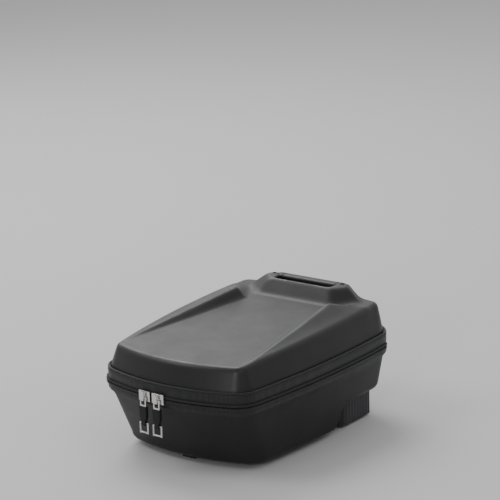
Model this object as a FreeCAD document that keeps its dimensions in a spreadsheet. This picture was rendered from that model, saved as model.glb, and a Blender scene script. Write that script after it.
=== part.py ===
import FreeCAD, Part
import math
import os
import Sketcher

# Tank bag: moulded tub, zip-on lid with rails and a hand slot, round quick-lock ring underneath.
# Millimetres. +X is the rider's right, +Y points to the handlebar, +Z is up.
# The origin is the centre of the lock ring's underside.

os.makedirs("parts", exist_ok=True)
V = FreeCAD.Vector
doc = FreeCAD.newDocument("tank_bag")

# ------------------------------------------------------------------ driving dimensions
DIMENSIONS = [
    # plan of the seam wall, seen from above
    ("half_mid", 110.0, "half width where the bag is widest"),
    ("mid_ahead", 84.0, "how far ahead of the ring the bag is widest"),
    ("side_bow", 1185.0, "radius of the bowed sides"),
    ("back_reach", 117.5, "ring centre to the middle of the back wall"),
    ("back_bow", 234.6, "radius of the bowed back wall"),
    ("fore_reach", 195.0, "ring centre to the middle of the front wall"),
    ("fore_bow", 471.0, "radius of the bowed front wall"),
    ("back_turn", 27.0, "back corner radius at the seam"),
    ("fore_turn", 34.0, "front corner radius at the seam"),
    # heights
    ("tub_low", 6.0, "underside of the tub"),
    ("waist_high", 66.0, "where the tub's wall starts to flare to the rim"),
    ("tub_high", 73.6, "where the flare meets the rim"),
    ("rim_high", 78.4, "top edge of the tub's rim"),
    ("seam_high", 85.0, "middle of the zip, where the bag opens"),
    ("lid_low", 91.6, "lower edge of the lid shell"),
    ("ledge_high", 99.0, "ledge between the zip band and the lid wall"),
    ("wall_high", 101.0, "foot of the leaning lid wall"),
    ("deck_level", 128.8, "height of the tilted lid deck above the ring"),
    ("deck_tilt", 1.555, "rise of the deck towards the front, degrees"),
    ("lid_turn", 12.0, "lid corner radius at the deck"),
    # walls and tapers
    ("wall", 3.2, "moulded wall"),
    ("rim_out", 2.4, "how far the rims stand proud of the wall"),
    ("lean", 10.0, "how far the lid wall leans in"),
    ("side_taper", 8.0, "tub side taper, seam to underside"),
    ("back_taper", 33.0, "tub back wall rake, seam to underside"),
    ("fore_taper", 16.0, "tub front wall rake, seam to underside"),
    ("low_turn", 30.0, "corner radius at the underside"),
    ("waist_side", 2.0, "side wall set in at the waist"),
    ("waist_back", 4.0, "back wall set in at the waist"),
    ("waist_turn", 29.0, "corner radius at the waist"),
    ("low_round", 8.0, "rounding of the tub's bottom edge"),
    # raised floor at the front
    ("step_high", 32.0, "height of the raised front floor"),
    ("ramp_foot", 71.0, "where the ramp leaves the underside"),
    ("ramp_top", 86.0, "where the ramp meets the raised floor"),
    # zip
    ("tape_in", 2.7, "tape inner face, outside the wall line"),
    ("tape_out", 3.7, "tape outer face"),
    ("coil_in", 3.8, "coil inner face"),
    ("coil_out", 5.9, "coil outer face"),
    ("coil_wide", 2.6, "height of one coil"),
    ("coil_gap", 0.8, "each coil's distance from the seam plane"),
    ("tape_low", 76.0, "lower edge of the lower tape"),
    ("chain_end", 168.0, "where the coils end at the front of each side"),
    # lining
    ("lining_gap", 1.0, "space between shell and lining"),
    ("lining", 1.4, "lining thickness"),
    ("lining_floor", 27.0, "underside of the lining floor"),
    # lock ring
    ("ring_rad", 66.0, "ring outer radius"),
    ("ring_bore", 56.0, "radius of the recess that takes the tank's ring"),
    ("ring_deep", 9.0, "depth of that recess"),
    ("ring_high", 14.0, "ring thickness"),
    ("ring_hole", 25.0, "radius of the hole through the web"),
    ("screw_side", 29.7, "ring screws, from the middle along X and along Y"),
    ("screw_rad", 2.4, "screw shank radius"),
    ("hole_rad", 2.7, "screw hole radius"),
    ("head_rad", 4.7, "countersunk head radius"),
    # latch
    ("bolt_wide_half", 11.0, "half the bolt's width"),
    ("cover_half", 15.0, "half the latch cover's width"),
    ("bolt_low", 1.5, "underside of the bolt"),
    ("bolt_thick", 4.2, "bolt thickness"),
    ("bolt_tip", 52.0, "bolt tip, behind the ring centre"),
    ("bolt_tail", 70.0, "bolt tail, behind the ring centre"),
    ("plate_high", 20.8, "top of the floor plate"),
    ("plate_half", 50.0, "half the floor plate's side"),
    ("foot_half", 96.0, "half width of the front foot"),
    # handle
    ("grip_half", 52.0, "half length of the carry handle"),
    ("grip_back", 168.0, "back face of the handle"),
    ("grip_deep", 13.0, "handle depth"),
    ("grip_seat", 140.0, "height of the handle's seats"),
    ("scoop_half", 40.0, "half width of the hand recess"),
    ("scoop_back", 154.0, "back wall of the hand recess"),
    ("scoop_floor", 117.0, "floor of the hand recess"),
    ("grip_screw", 47.0, "handle screws, from the middle"),
    ("grip_screw_ahead", 5.0, "handle screws, ahead of the handle's back face"),
    ("grip_screw_rad", 2.0, "handle screw shank radius"),
    ("grip_head", 3.9, "handle screw head radius"),
    # sliders and pullers
    ("slider_left_turn", -5.4, "left slider's place on the back arc, degrees"),
    ("slider_right_turn", -0.8, "right slider's place on the back arc, degrees"),
    ("slider_half", 8.2, "half length of a slider"),
    ("plate_in", 1.2, "slider's back plate, outside the wall line"),
    ("plate_thick", 1.1, "thickness of the slider's plates"),
    ("slider_low", 78.9, "lower edge of a slider"),
    ("slider_high", 90.6, "upper edge of a slider"),
    ("pivot_out", 9.0, "puller pivot, outside the wall line"),
    ("pivot_high", 83.3, "puller pivot height"),
    ("tab_low", 51.0, "lower end of a pull tab"),
    ("loop_high", 53.4, "end loop pivot height"),
]
sheet = doc.addObject("Spreadsheet::Sheet", "dims")
for row, (alias, value, note) in enumerate(DIMENSIONS, start=1):
    sheet.set("A%d" % row, alias)
    sheet.set("B%d" % row, repr(value))
    sheet.set("C%d" % row, note)
    sheet.setAlias("B%d" % row, alias)
doc.recompute()


def number(text):
    """Value of a sum such as "wall + rim_out - 0.5", read from the sheet."""
    total, sign = 0.0, 1.0
    for word in str(text).split():
        if word in ("+", "-"):
            sign = 1.0 if word == "+" else -1.0
        else:
            total += sign * (float(sheet.get(word)) if word[0].isalpha() else float(word))
    return total


def formula(text):
    """The same sum as an expression bound to the sheet."""
    return " ".join("dims." + word if word[0].isalpha() else word for word in str(text).split())


def less(high, low):
    """The sum that is high minus low, where low may be a sum itself."""
    flipped = []
    for word in str(low).split():
        flipped.append({"+": "-", "-": "+"}.get(word, word))
    if flipped[0] not in ("+", "-"):
        flipped.insert(0, "-")
    return "%s %s" % (high, " ".join(flipped))


def bind(thing, prop, text):
    thing.setExpression(prop, formula(text))


# ------------------------------------------------------------------ sketches
def origin_plane(body, role):
    return [f for f in body.Origin.OriginFeatures if f.Role == role][0]


def new_body(label):
    body = doc.addObject("PartDesign::Body", label)
    body.Label = label
    return body


def new_sketch(body, label, height="0", role="XY_Plane", tilt=None):
    sketch = body.newObject("Sketcher::SketchObject", label)
    sketch.AttachmentSupport = (origin_plane(body, role), [""])
    sketch.MapMode = "FlatFace"
    bind(sketch, "AttachmentOffset.Base.z", height)
    if tilt:
        sketch.setExpression("AttachmentOffset.Rotation.Axis.x", "1")
        sketch.setExpression("AttachmentOffset.Rotation.Axis.z", "0")
        bind(sketch, "AttachmentOffset.Rotation.Angle", tilt)
    return sketch


def hold(sketch, kind, geo, point, text):
    """Dimension from the sketch origin to a point, bound to the sheet."""
    index = sketch.addConstraint(Sketcher.Constraint(kind, -1, 1, geo, point, number(text)))
    bind(sketch, "Constraints[%d]" % index, text)


def hold_radius(sketch, geo, text):
    index = sketch.addConstraint(Sketcher.Constraint("Radius", geo, number(text)))
    bind(sketch, "Constraints[%d]" % index, text)


def meet(one, one_rad, two, two_rad, side):
    """Where two circles meet, on the wanted side of the line between their centres."""
    gap = two - one
    along = (one_rad ** 2 - two_rad ** 2 + gap.Length ** 2) / (2 * gap.Length)
    across = math.sqrt(max(one_rad ** 2 - along ** 2, 0))
    unit = gap * (1 / gap.Length)
    return one + unit * along + V(-unit.y, unit.x, 0) * (across * side)


def outline(sketch, grow="0", side="0", back="0", fore="0", back_turn="back_turn",
            fore_turn="fore_turn"):
    """The bag's plan: bowed sides, back and front with tangent corner arcs.
    grow offsets it outwards; side, back and fore pull one wall inwards."""
    words = {
        "side_x": less("half_mid", side) + " - side_bow",
        "side_x_neg": "side_bow - half_mid + %s" % side,
        "side_y": "mid_ahead",
        "fore_y": less("fore_reach", fore) + " - fore_bow",
        "back_y": "back_bow - back_reach + %s" % back,
    }
    right = V(number(words["side_x"]), number(words["side_y"]), 0)
    left = V(-right.x, right.y, 0)
    front = V(0, number(words["fore_y"]), 0)
    rear = V(0, number(words["back_y"]), 0)
    bow_s, bow_f, bow_b = number("side_bow"), number("fore_bow"), number("back_bow")
    turn_f, turn_b, more = number(fore_turn), number(back_turn), number(grow)
    corner_rf = meet(right, bow_s - turn_f, front, bow_f - turn_f, -1)
    corner_rb = meet(right, bow_s - turn_b, rear, bow_b - turn_b, 1)
    if corner_rf.x < 0:
        corner_rf = meet(right, bow_s - turn_f, front, bow_f - turn_f, 1)
    if corner_rb.x < 0 or corner_rb.y > number("mid_ahead"):
        corner_rb = meet(right, bow_s - turn_b, rear, bow_b - turn_b, -1)
    corner_lf = V(-corner_rf.x, corner_rf.y, 0)
    corner_lb = V(-corner_rb.x, corner_rb.y, 0)

    def angle(a, b):
        return math.atan2(b.y - a.y, b.x - a.x)

    arcs = [
        (right, bow_s, angle(right, corner_rb), angle(right, corner_rf)),
        (corner_rf, turn_f, angle(right, corner_rf), angle(front, corner_rf)),
        (front, bow_f, angle(front, corner_rf), angle(front, corner_lf)),
        (corner_lf, turn_f, angle(front, corner_lf), angle(left, corner_lf)),
        (left, bow_s, angle(left, corner_lf), angle(left, corner_lb)),
        (corner_lb, turn_b, angle(left, corner_lb), angle(rear, corner_lb)),
        (rear, bow_b, angle(rear, corner_lb), angle(rear, corner_rb)),
        (corner_rb, turn_b, angle(rear, corner_rb), angle(right, corner_rb)),
    ]
    first = sketch.GeometryCount
    for centre, radius, start, end in arcs:
        while end < start:
            end += 2 * math.pi
        circle = Part.Circle(centre, V(0, 0, 1), radius + more)
        sketch.addGeometry(Part.ArcOfCircle(circle, start, end), False)
    for i in range(8):
        sketch.addConstraint(Sketcher.Constraint("Tangent", first + i, 2, first + (i + 1) % 8, 1))
    bows = ["side_bow", fore_turn, "fore_bow", fore_turn, "side_bow", back_turn, "back_bow",
            back_turn]
    for i, bow in enumerate(bows):
        hold_radius(sketch, first + i, "%s + %s" % (bow, grow) if grow[0] != "-" else
                    "%s %s" % (bow, grow))
    hold(sketch, "DistanceX", first, 3, words["side_x"])
    hold(sketch, "DistanceY", first, 3, words["side_y"])
    hold(sketch, "DistanceX", first + 4, 3, words["side_x_neg"])
    hold(sketch, "DistanceY", first + 4, 3, words["side_y"])
    for geo, word in ((first + 2, "fore_y"), (first + 6, "back_y")):
        sketch.addConstraint(Sketcher.Constraint("PointOnObject", geo, 3, -2))
        hold(sketch, "DistanceY", geo, 3, words[word])


def rectangle(sketch, low_x, low_y, high_x, high_y):
    """Rectangle between two corners, each side bound to the sheet."""
    x0, y0, x1, y1 = number(low_x), number(low_y), number(high_x), number(high_y)
    corners = [V(x0, y0, 0), V(x1, y0, 0), V(x1, y1, 0), V(x0, y1, 0)]
    first = sketch.GeometryCount
    for i in range(4):
        sketch.addGeometry(Part.LineSegment(corners[i], corners[(i + 1) % 4]), False)
    for i in range(4):
        sketch.addConstraint(Sketcher.Constraint("Coincident", first + i, 2, first + (i + 1) % 4, 1))
        sketch.addConstraint(Sketcher.Constraint("Vertical" if i % 2 else "Horizontal", first + i))
    hold(sketch, "DistanceX", first, 1, low_x)
    hold(sketch, "DistanceY", first, 1, low_y)
    hold(sketch, "DistanceX", first + 1, 2, high_x)
    hold(sketch, "DistanceY", first + 1, 2, high_y)


def circle(sketch, x, y, radius):
    geo = sketch.addGeometry(Part.Circle(V(number(x), number(y), 0), V(0, 0, 1), number(radius)), False)
    for kind, text, axis in (("DistanceX", x, -2), ("DistanceY", y, -1)):
        if abs(number(text)) > 1e-9:
            hold(sketch, kind, geo, 3, text)
        else:
            sketch.addConstraint(Sketcher.Constraint("PointOnObject", geo, 3, axis))
    hold_radius(sketch, geo, radius)


def polygon(sketch, points):
    """Closed polygon with every corner dimensioned from the sketch origin."""
    first = sketch.GeometryCount
    corners = [V(number(x), number(y), 0) for x, y in points]
    for i in range(len(corners)):
        sketch.addGeometry(Part.LineSegment(corners[i], corners[(i + 1) % len(corners)]), False)
    for i, (x, y) in enumerate(points):
        sketch.addConstraint(
            Sketcher.Constraint("Coincident", first + i, 2, first + (i + 1) % len(corners), 1))
        hold(sketch, "DistanceX", first + i, 1, x)
        hold(sketch, "DistanceY", first + i, 1, y)


# ------------------------------------------------------------------ features
def pad(body, sketch, length):
    feature = body.newObject("PartDesign::Pad", sketch.Label + "_pad")
    feature.Profile = sketch
    bind(feature, "Length", length)
    sketch.Visibility = False
    return feature


def pocket(body, sketch, length, through=False, backwards=False):
    feature = body.newObject("PartDesign::Pocket", sketch.Label + "_pocket")
    feature.Profile = sketch
    if through:
        feature.Type = "ThroughAll"
    else:
        bind(feature, "Length", length)
    feature.Reversed = backwards
    sketch.Visibility = False
    return feature


def loft(body, sketches, label):
    feature = body.newObject("PartDesign::AdditiveLoft", label)
    feature.Profile = sketches[0]
    feature.Sections = sketches[1:]
    feature.Ruled = True
    for sketch in sketches:
        sketch.Visibility = False
    return feature


def boolean(kind, label, shapes):
    """Part boolean: Cut takes (base, tool), Common and Fuse take two or more."""
    if kind == "Cut":
        result = doc.addObject("Part::Cut", label)
        result.Base, result.Tool = shapes
    else:
        result = doc.addObject({"Fuse": "Part::MultiFuse", "Common": "Part::MultiCommon"}[kind], label)
        result.Shapes = shapes
        if kind == "Fuse":
            result.Refine = True
    result.Label = label
    return result


def block(label, x, y, z, long_x, long_y, long_z):
    """Part box with corner and sizes bound to the sheet."""
    box = doc.addObject("Part::Box", label)
    for prop, text in (("Length", long_x), ("Width", long_y), ("Height", long_z),
                       ("Placement.Base.x", x), ("Placement.Base.y", y), ("Placement.Base.z", z)):
        bind(box, prop, text)
    return box


def rod(label, x, y, z, radius, length, axis="Z"):
    """Part cylinder along one axis, starting at the given point."""
    cylinder = doc.addObject("Part::Cylinder", label)
    turns = {"X": FreeCAD.Rotation(V(0, 1, 0), 90), "Y": FreeCAD.Rotation(V(1, 0, 0), -90)}
    cylinder.Placement = FreeCAD.Placement(V(0, 0, 0), turns.get(axis, FreeCAD.Rotation()))
    for prop, text in (("Radius", radius), ("Height", length), ("Placement.Base.x", x),
                       ("Placement.Base.y", y), ("Placement.Base.z", z)):
        bind(cylinder, prop, text)
    return cylinder


def group(label, members):
    compound = doc.addObject("Part::Compound", label)
    compound.Links = members
    compound.Label = label
    return compound


def prism(label, points, low, high, role="YZ_Plane"):
    """Polygon drawn on an origin plane and padded between two offsets."""
    body = new_body(label)
    sketch = new_sketch(body, label + "_profile", low, role)
    polygon(sketch, points)
    pad(body, sketch, less(high, low))
    return body


def band(label, low, high, inner, outer):
    """A closed band that follows the plan, from offset inner to offset outer."""
    body = new_body(label)
    sketch = new_sketch(body, label + "_plan", low)
    outline(sketch, outer)
    outline(sketch, inner)
    pad(body, sketch, less(high, low))
    return body


nodes = {}


def node(name, thing):
    thing.Label = name
    nodes[name] = thing
    return thing


# ------------------------------------------------------------------ tub
def tub_block(label, low, top, grow):
    """Tapered block of the tub: foot, waist, then a flare out to a straight collar."""
    body = new_body(label)
    foot = new_sketch(body, label + "_foot", low)
    outline(foot, grow, "side_taper", "back_taper", "fore_taper", "low_turn", "low_turn")
    waist = new_sketch(body, label + "_waist", "waist_high")
    outline(waist, grow, "waist_side", "waist_back", "waist_side", "waist_turn", "waist_turn")
    flare = new_sketch(body, label + "_flare", "tub_high")
    outline(flare, grow)
    loft(body, [foot, waist, flare], label + "_taper")
    collar = new_sketch(body, label + "_collar", "tub_high")
    outline(collar, grow)
    pad(body, collar, less(top, "tub_high"))
    return body


def front_wedge(label, more):
    """Everything below the raised front floor; more thickens the floor above it."""
    return prism(label, [(less("ramp_foot", more), "0"), (less("ramp_foot", more), "tub_low"),
                         (less("ramp_top", more), "step_high + %s" % more),
                         ("fore_reach + 20", "step_high + %s" % more), ("fore_reach + 20", "0")],
                 "- 140", "140")


def round_edges(body, radius, chosen):
    """Fillets the edges of the body's last feature that the test picks."""
    doc.recompute()
    tip = body.Tip
    names = ["Edge%d" % (i + 1) for i, edge in enumerate(tip.Shape.Edges) if chosen(edge.BoundBox)]
    feature = body.newObject("PartDesign::Fillet", body.Label + "_round")
    feature.Base = (tip, names)
    bind(feature, "Radius", radius)
    tip.Visibility = False
    return feature


def turned(label, source, angle):
    """A copy of a solid turned about the upright axis of the back wall's bow."""
    part = doc.addObject("Part::Compound", label)
    part.Links = [source]
    pivot_y = number("back_bow - back_reach")
    part.Placement = FreeCAD.Placement(V(0, 0, 0), FreeCAD.Rotation(V(0, 0, 1), number(angle)),
                                       V(0, pivot_y, 0))
    return part


tub_solid = tub_block("tub_solid", "tub_low", "rim_high - 0.4", "0")
round_edges(tub_solid, "low_round", lambda box: box.ZMax < number("tub_low + 0.1"))
tub_rim = band("tub_rim", "tub_high", "rim_high", "- wall", "rim_out")
tub_outer = boolean("Fuse", "tub_outer", [boolean("Cut", "tub_stepped", [
    tub_solid, front_wedge("step_below", "0")]), tub_rim])
tub_hollow = tub_block("tub_hollow", "tub_low + wall", "rim_high + 2", "- wall")
ring_boss = rod("ring_boss", "0", "0", "0", "ring_rad + 4", "ring_high + wall + 0.3")
hollow_keep = boolean("Fuse", "hollow_keep", [front_wedge("step_above", "wall"), ring_boss])
tub_cup = boolean("Cut", "tub_cup", [tub_outer, boolean("Cut", "tub_room", [
    tub_hollow, hollow_keep])])
ring_pocket = rod("ring_pocket", "0", "0", "0", "ring_rad + 0.5", "ring_high + 0.3")
CORNERS = [("screw_side", "screw_side"), ("- screw_side", "screw_side"),
           ("- screw_side", "- screw_side"), ("screw_side", "- screw_side")]


def four_rods(label, z, radius, length):
    return [rod("%s_%d" % (label, i + 1), x, y, z, radius, length)
            for i, (x, y) in enumerate(CORNERS)]


base_shell = boolean("Cut", "base_shell", [tub_cup, boolean("Fuse", "tub_openings", [
    ring_pocket] + four_rods("tub_hole", "tub_low", "hole_rad", "20"))])
node("base_shell", base_shell)


# ------------------------------------------------------------------ tub lining
def lining_block(label, low, grow):
    """Tapered block that fills the tub above the lining floor."""
    body = new_body(label)
    foot = new_sketch(body, label + "_foot", low)
    outline(foot, grow, "side_taper - 1", "back_taper - 8", "fore_taper - 3", "low_turn",
            "low_turn")
    waist = new_sketch(body, label + "_waist", "waist_high")
    outline(waist, grow, "waist_side", "waist_back", "waist_side", "waist_turn", "waist_turn")
    flare = new_sketch(body, label + "_flare", "tub_high")
    outline(flare, grow)
    loft(body, [foot, waist, flare], label + "_taper")
    collar = new_sketch(body, label + "_collar", "tub_high")
    outline(collar, grow)
    pad(body, collar, "rim_high - tub_high - 1")
    return body


lining_outer = boolean("Cut", "lining_outer", [
    lining_block("lining_skin", "lining_floor", "- wall - lining_gap"),
    front_wedge("lining_step", "wall + lining_gap")])
lining_inner = boolean("Cut", "lining_inner", [
    lining_block("lining_room", "lining_floor + lining", "- wall - lining_gap - lining"),
    front_wedge("lining_step_inner", "wall + lining_gap + lining")])
lining_top = block("lining_top", "-150", "-150", "rim_high - 1.6", "300", "400", "10")
node("base_liner", boolean("Cut", "base_liner", [
    boolean("Cut", "lining_cup", [lining_outer, lining_inner]), lining_top]))


# ------------------------------------------------------------------ lock ring and its fixings
def ring_solid():
    body = new_body("lock_ring")
    disc = new_sketch(body, "ring_disc")
    circle(disc, "0", "0", "ring_rad")
    pad(body, disc, "ring_high")
    recess = new_sketch(body, "ring_recess")
    circle(recess, "0", "0", "ring_bore")
    pocket(body, recess, "ring_deep", backwards=True)
    hole = new_sketch(body, "ring_window", "ring_high")
    circle(hole, "0", "0", "ring_hole")
    for x, y in CORNERS:
        circle(hole, x, y, "hole_rad")
    pocket(body, hole, "ring_high", through=True)
    track = new_sketch(body, "bolt_track")
    rectangle(track, "- bolt_wide_half - 0.3", "- bolt_tail", "bolt_wide_half + 0.3", "- bolt_tip")
    pocket(body, track, "bolt_low + bolt_thick + 0.3", backwards=True)
    seat = new_sketch(body, "cover_seat")
    rectangle(seat, "- cover_half - 0.2", "- bolt_tail", "cover_half + 0.2", "- bolt_tip")
    pocket(body, seat, "bolt_low - 0.2", backwards=True)
    return body


ring = ring_solid()
sinks = []
for i, (x, y) in enumerate(CORNERS):
    cone = doc.addObject("Part::Cone", "screw_sink_%d" % (i + 1))
    for prop, text in (("Radius1", "head_rad + 0.3"), ("Radius2", "screw_rad + 0.3"),
                       ("Height", "2.8"), ("Placement.Base.x", x), ("Placement.Base.y", y),
                       ("Placement.Base.z", "ring_deep")):
        bind(cone, prop, text)
    sinks.append(cone)
node("ring_adapter", boolean("Cut", "ring_adapter", [ring, boolean("Fuse", "sink_set", sinks)]))


def ring_screw(i, x, y):
    """Countersunk screw, head down in the ring's web, with a driver cross."""
    head = doc.addObject("Part::Cone", "ring_screw_head_%d" % i)
    for prop, text in (("Radius1", "head_rad"), ("Radius2", "screw_rad"), ("Height", "2.6"),
                       ("Placement.Base.x", x), ("Placement.Base.y", y),
                       ("Placement.Base.z", "ring_deep + 0.1")):
        bind(head, prop, text)
    shank = rod("ring_screw_shank_%d" % i, x, y, "ring_deep + 0.1", "screw_rad", "17")
    whole = boolean("Fuse", "ring_screw_%d" % i, [head, shank])
    cross = boolean("Fuse", "ring_screw_cross_%d" % i, [
        block("ring_screw_slot_a_%d" % i, x + " - 2.4", y + " - 0.5", "ring_deep", "4.8", "1", "1.6"),
        block("ring_screw_slot_b_%d" % i, x + " - 0.5", y + " - 2.4", "ring_deep", "1", "4.8", "1.6")])
    return boolean("Cut", "ring_screw_cut_%d" % i, [whole, cross])


node("ring_screws", group("ring_screws", [
    ring_screw(i + 1, x, y) for i, (x, y) in enumerate(CORNERS)]))


def ring_nut(i, x, y):
    """Flanged hexagon nut on the floor plate."""
    hexagon = doc.addObject("Part::Prism", "ring_nut_hex_%d" % i)
    hexagon.Polygon = 6
    for prop, text in (("Circumradius", "4.6"), ("Height", "4.4"), ("Placement.Base.x", x),
                       ("Placement.Base.y", y), ("Placement.Base.z", "plate_high + 0.1")):
        bind(hexagon, prop, text)
    flange = rod("ring_nut_flange_%d" % i, x, y, "plate_high + 0.1", "6", "1.2")
    hole = rod("ring_nut_hole_%d" % i, x, y, "plate_high", "screw_rad + 0.05", "6")
    return boolean("Cut", "ring_nut_%d" % i, [
        boolean("Fuse", "ring_nut_body_%d" % i, [hexagon, flange]), hole])


node("ring_nuts", group("ring_nuts", [
    ring_nut(i + 1, x, y) for i, (x, y) in enumerate(CORNERS)]))


def floor_plate():
    body = new_body("load_plate")
    sheet_plan = new_sketch(body, "load_plate_plan", "plate_high - 3")
    rectangle(sheet_plan, "- plate_half", "- plate_half", "plate_half", "plate_half")
    circle(sheet_plan, "0", "0", "ring_hole - 5")
    for x, y in CORNERS:
        circle(sheet_plan, x, y, "hole_rad")
    pad(body, sheet_plan, "3")
    round_edges(body, "10", lambda box: box.ZLength > 2.5 and box.XLength < 0.1
                and abs(box.XMin) > number("plate_half") - 1)
    return body


node("floor_plate", floor_plate())


# ------------------------------------------------------------------ latch
def latch_bolt():
    """Flat bolt with a bevelled tip and a window for the spring."""
    body = new_body("bolt_slide")
    plan = new_sketch(body, "bolt_plan", "bolt_low")
    rectangle(plan, "- bolt_wide_half", "- bolt_tail", "bolt_wide_half", "- bolt_tip")
    rectangle(plan, "- 2.7", "- bolt_tip - 13.6", "2.7", "- bolt_tip - 4.6")
    pad(body, plan, "bolt_thick")
    bevel = new_sketch(body, "bolt_bevel", "-20", "YZ_Plane")
    polygon(bevel, [("- bolt_tip - 3", "bolt_low - 0.5"), ("- bolt_tip + 1", "bolt_low - 0.5"),
                    ("- bolt_tip + 1", "bolt_low + 3.2")])
    pocket(body, bevel, "40", backwards=True)
    return body


node("latch_bolt", latch_bolt())
cover = boolean("Fuse", "cover_with_post", [
    block("cover_sheet", "- cover_half", "- ring_rad + 0.8", "0", "cover_half + cover_half",
          "ring_rad - ring_bore - 1.2", "bolt_low - 0.3"),
    block("cover_post", "-2.2", "- bolt_tip - 13.2", "0", "4.4", "1.4", "bolt_low + bolt_thick - 0.4")])
node("latch_cover", cover)


def coil_spring(label, radius, wire, pitch, long, x, y, z):
    """Closed round-wire coil, its axis along Y."""
    helix = Part.makeHelix(pitch, long, radius)
    ring_wire = Part.Wire([Part.makeCircle(wire, V(radius, 0, 0), V(0, 1, 0))])
    solid = Part.Wire(helix).makePipeShell([ring_wire], True, True)
    feature = doc.addObject("Part::Feature", label)
    feature.Shape = solid
    feature.Placement = FreeCAD.Placement(V(x, y, z), FreeCAD.Rotation(V(1, 0, 0), -90))
    return feature


node("latch_spring", coil_spring("latch_spring", 1.45, 0.28, 1.5, 5.6, 0,
                                 number("- bolt_tip - 11.0"), number("bolt_low + 2.1")))
strap = prism("strap_web", [("- bolt_tail + 3", "bolt_low - 1.3"), ("- bolt_tail + 3", "bolt_low - 0.1"),
                            ("- bolt_tail - 1", "bolt_low - 0.1"), ("- bolt_tail - 2", "bolt_low + 1.1"),
                            ("- bolt_tail - 7", "bolt_low + 1.1"), ("- bolt_tail - 7", "bolt_low - 0.1"),
                            ("- bolt_tail - 3", "bolt_low - 0.1"), ("- bolt_tail - 2", "bolt_low - 1.3")],
              "- 9", "9")
node("release_strap", strap)


# ------------------------------------------------------------------ supports under the tub
def front_foot():
    body = new_body("foot_block")
    plan = new_sketch(body, "foot_plan", "2")
    rectangle(plan, "- foot_half", "93", "foot_half", "160")
    pad(body, plan, "step_high - 2.3")
    round_edges(body, "10", lambda box: box.ZLength > 20)
    round_edges(body, "2", lambda box: box.ZMax < 2.1)
    return body


node("front_foot", front_foot())
pads = []
for i, x in enumerate(("-78", "50")):
    pads.append(block("rear_pad_%d" % (i + 1), x, "-56", "tub_low - 2.6", "28", "12", "2.5"))
node("rear_pads", group("rear_pads", pads))


# ------------------------------------------------------------------ zip
coil_low = "seam_high - coil_gap - coil_wide"
chain_cut = block("chain_cut", "-150", "chain_end", "60", "300", "60", "60")


def half_zip(name, tape_from, tape_to, coil_from):
    tape = band("zip_tape_" + name + "_band", tape_from, tape_to, "tape_in", "tape_out")
    node("zip_tape_" + name, tape)
    coil = band("coil_" + name, coil_from, coil_from + " + coil_wide", "coil_in", "coil_out")
    node("zip_coil_" + name, boolean("Cut", "zip_coil_" + name, [coil, chain_cut]))


half_zip("lower", "tape_low", "seam_high - coil_gap", coil_low)
half_zip("upper", "seam_high + coil_gap", "ledge_high", "seam_high + coil_gap")

strip = band("strip_band", "77", "93", "coil_in", "coil_in + 1.2")
node("hinge_strip", boolean("Common", "hinge_strip", [
    strip, block("strip_span", "-62", "170", "70", "124", "60", "30")]))


# ------------------------------------------------------------------ lid
def lid_block(label, low, grow, deck_drop):
    """Straight collar, then a wall that leans in up to the tilted deck."""
    body = new_body(label)
    collar = new_sketch(body, label + "_collar", low)
    outline(collar, grow)
    pad(body, collar, less("wall_high", low))
    foot = new_sketch(body, label + "_foot", "wall_high")
    outline(foot, grow)
    deck = new_sketch(body, label + "_deck", less("deck_level", deck_drop), tilt="deck_tilt")
    outline(deck, grow, "lean", "lean", "lean", "lid_turn", "lid_turn")
    loft(body, [foot, deck], label + "_lean")
    return body


def deck_z(y):
    """Deck height at a distance ahead of the ring."""
    return number("deck_level") + y * math.tan(math.radians(number("deck_tilt")))


def section(label, y, points):
    """Upright polygon across the bag at one distance ahead of the ring."""
    sketch = doc.addObject("Sketcher::SketchObject", label)
    sketch.Placement = FreeCAD.Placement(V(0, y, 0), FreeCAD.Rotation(V(1, 0, 0), 90))
    polygon(sketch, [("%.3f" % x, "%.3f" % z) for x, z in points])
    return sketch


def wall_top(y):
    """Half width of the deck at a distance ahead of the ring."""
    return number("half_mid - lean") - (y - number("mid_ahead")) ** 2 / (2 * number("side_bow"))


def rail_sections(label, inset):
    """Cross-sections of the right rail, from the back corner to where it dies away in front."""
    back, crest_end, far_end = -84.0, 113.0, 158.0
    sections = []
    for i, y in enumerate((back, -20.0, 50.0, crest_end, 136.0, far_end)):
        along = min((y - back) / (crest_end - back), 1.0)
        past = max((y - crest_end) / (far_end - crest_end), 0.0)
        crest_x = 86.0 - 22.0 * along + 28.0 * past
        rise = 0.4 + 13.0 * along - 13.9 * past
        out_x = wall_top(y) - 0.4
        in_x = crest_x - 2.0 - 8.0 * along + 4.0 * past
        floor = deck_z(y) - 3.0
        crest_z = deck_z(y) + rise
        if inset:
            in_x, out_x = in_x + inset, out_x - inset
            crest_z, floor = crest_z - inset * 1.3, floor - 3.0
        sections.append(section("%s_%d" % (label, i + 1), y, [
            (in_x, floor), (out_x, floor), (out_x, max(floor + 0.5, deck_z(y) - 0.6 - inset)),
            (crest_x, max(crest_z, floor + 1.0)), (in_x, max(floor + 0.5, deck_z(y) - 0.6 - inset))]))
    return sections


def part_loft(label, sketches):
    feature = doc.addObject("Part::Loft", label)
    feature.Sections = sketches
    feature.Solid = True
    feature.Ruled = True
    return feature


def mirrored(label, source):
    feature = doc.addObject("Part::Mirroring", label)
    feature.Source = source
    feature.Normal = V(1, 0, 0)
    return feature


def level_polygon(label, z, points):
    sketch = doc.addObject("Sketcher::SketchObject", label)
    sketch.Placement = FreeCAD.Placement(V(0, 0, z), FreeCAD.Rotation())
    polygon(sketch, [("%.3f" % x, "%.3f" % y) for x, y in points])
    return sketch


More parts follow.
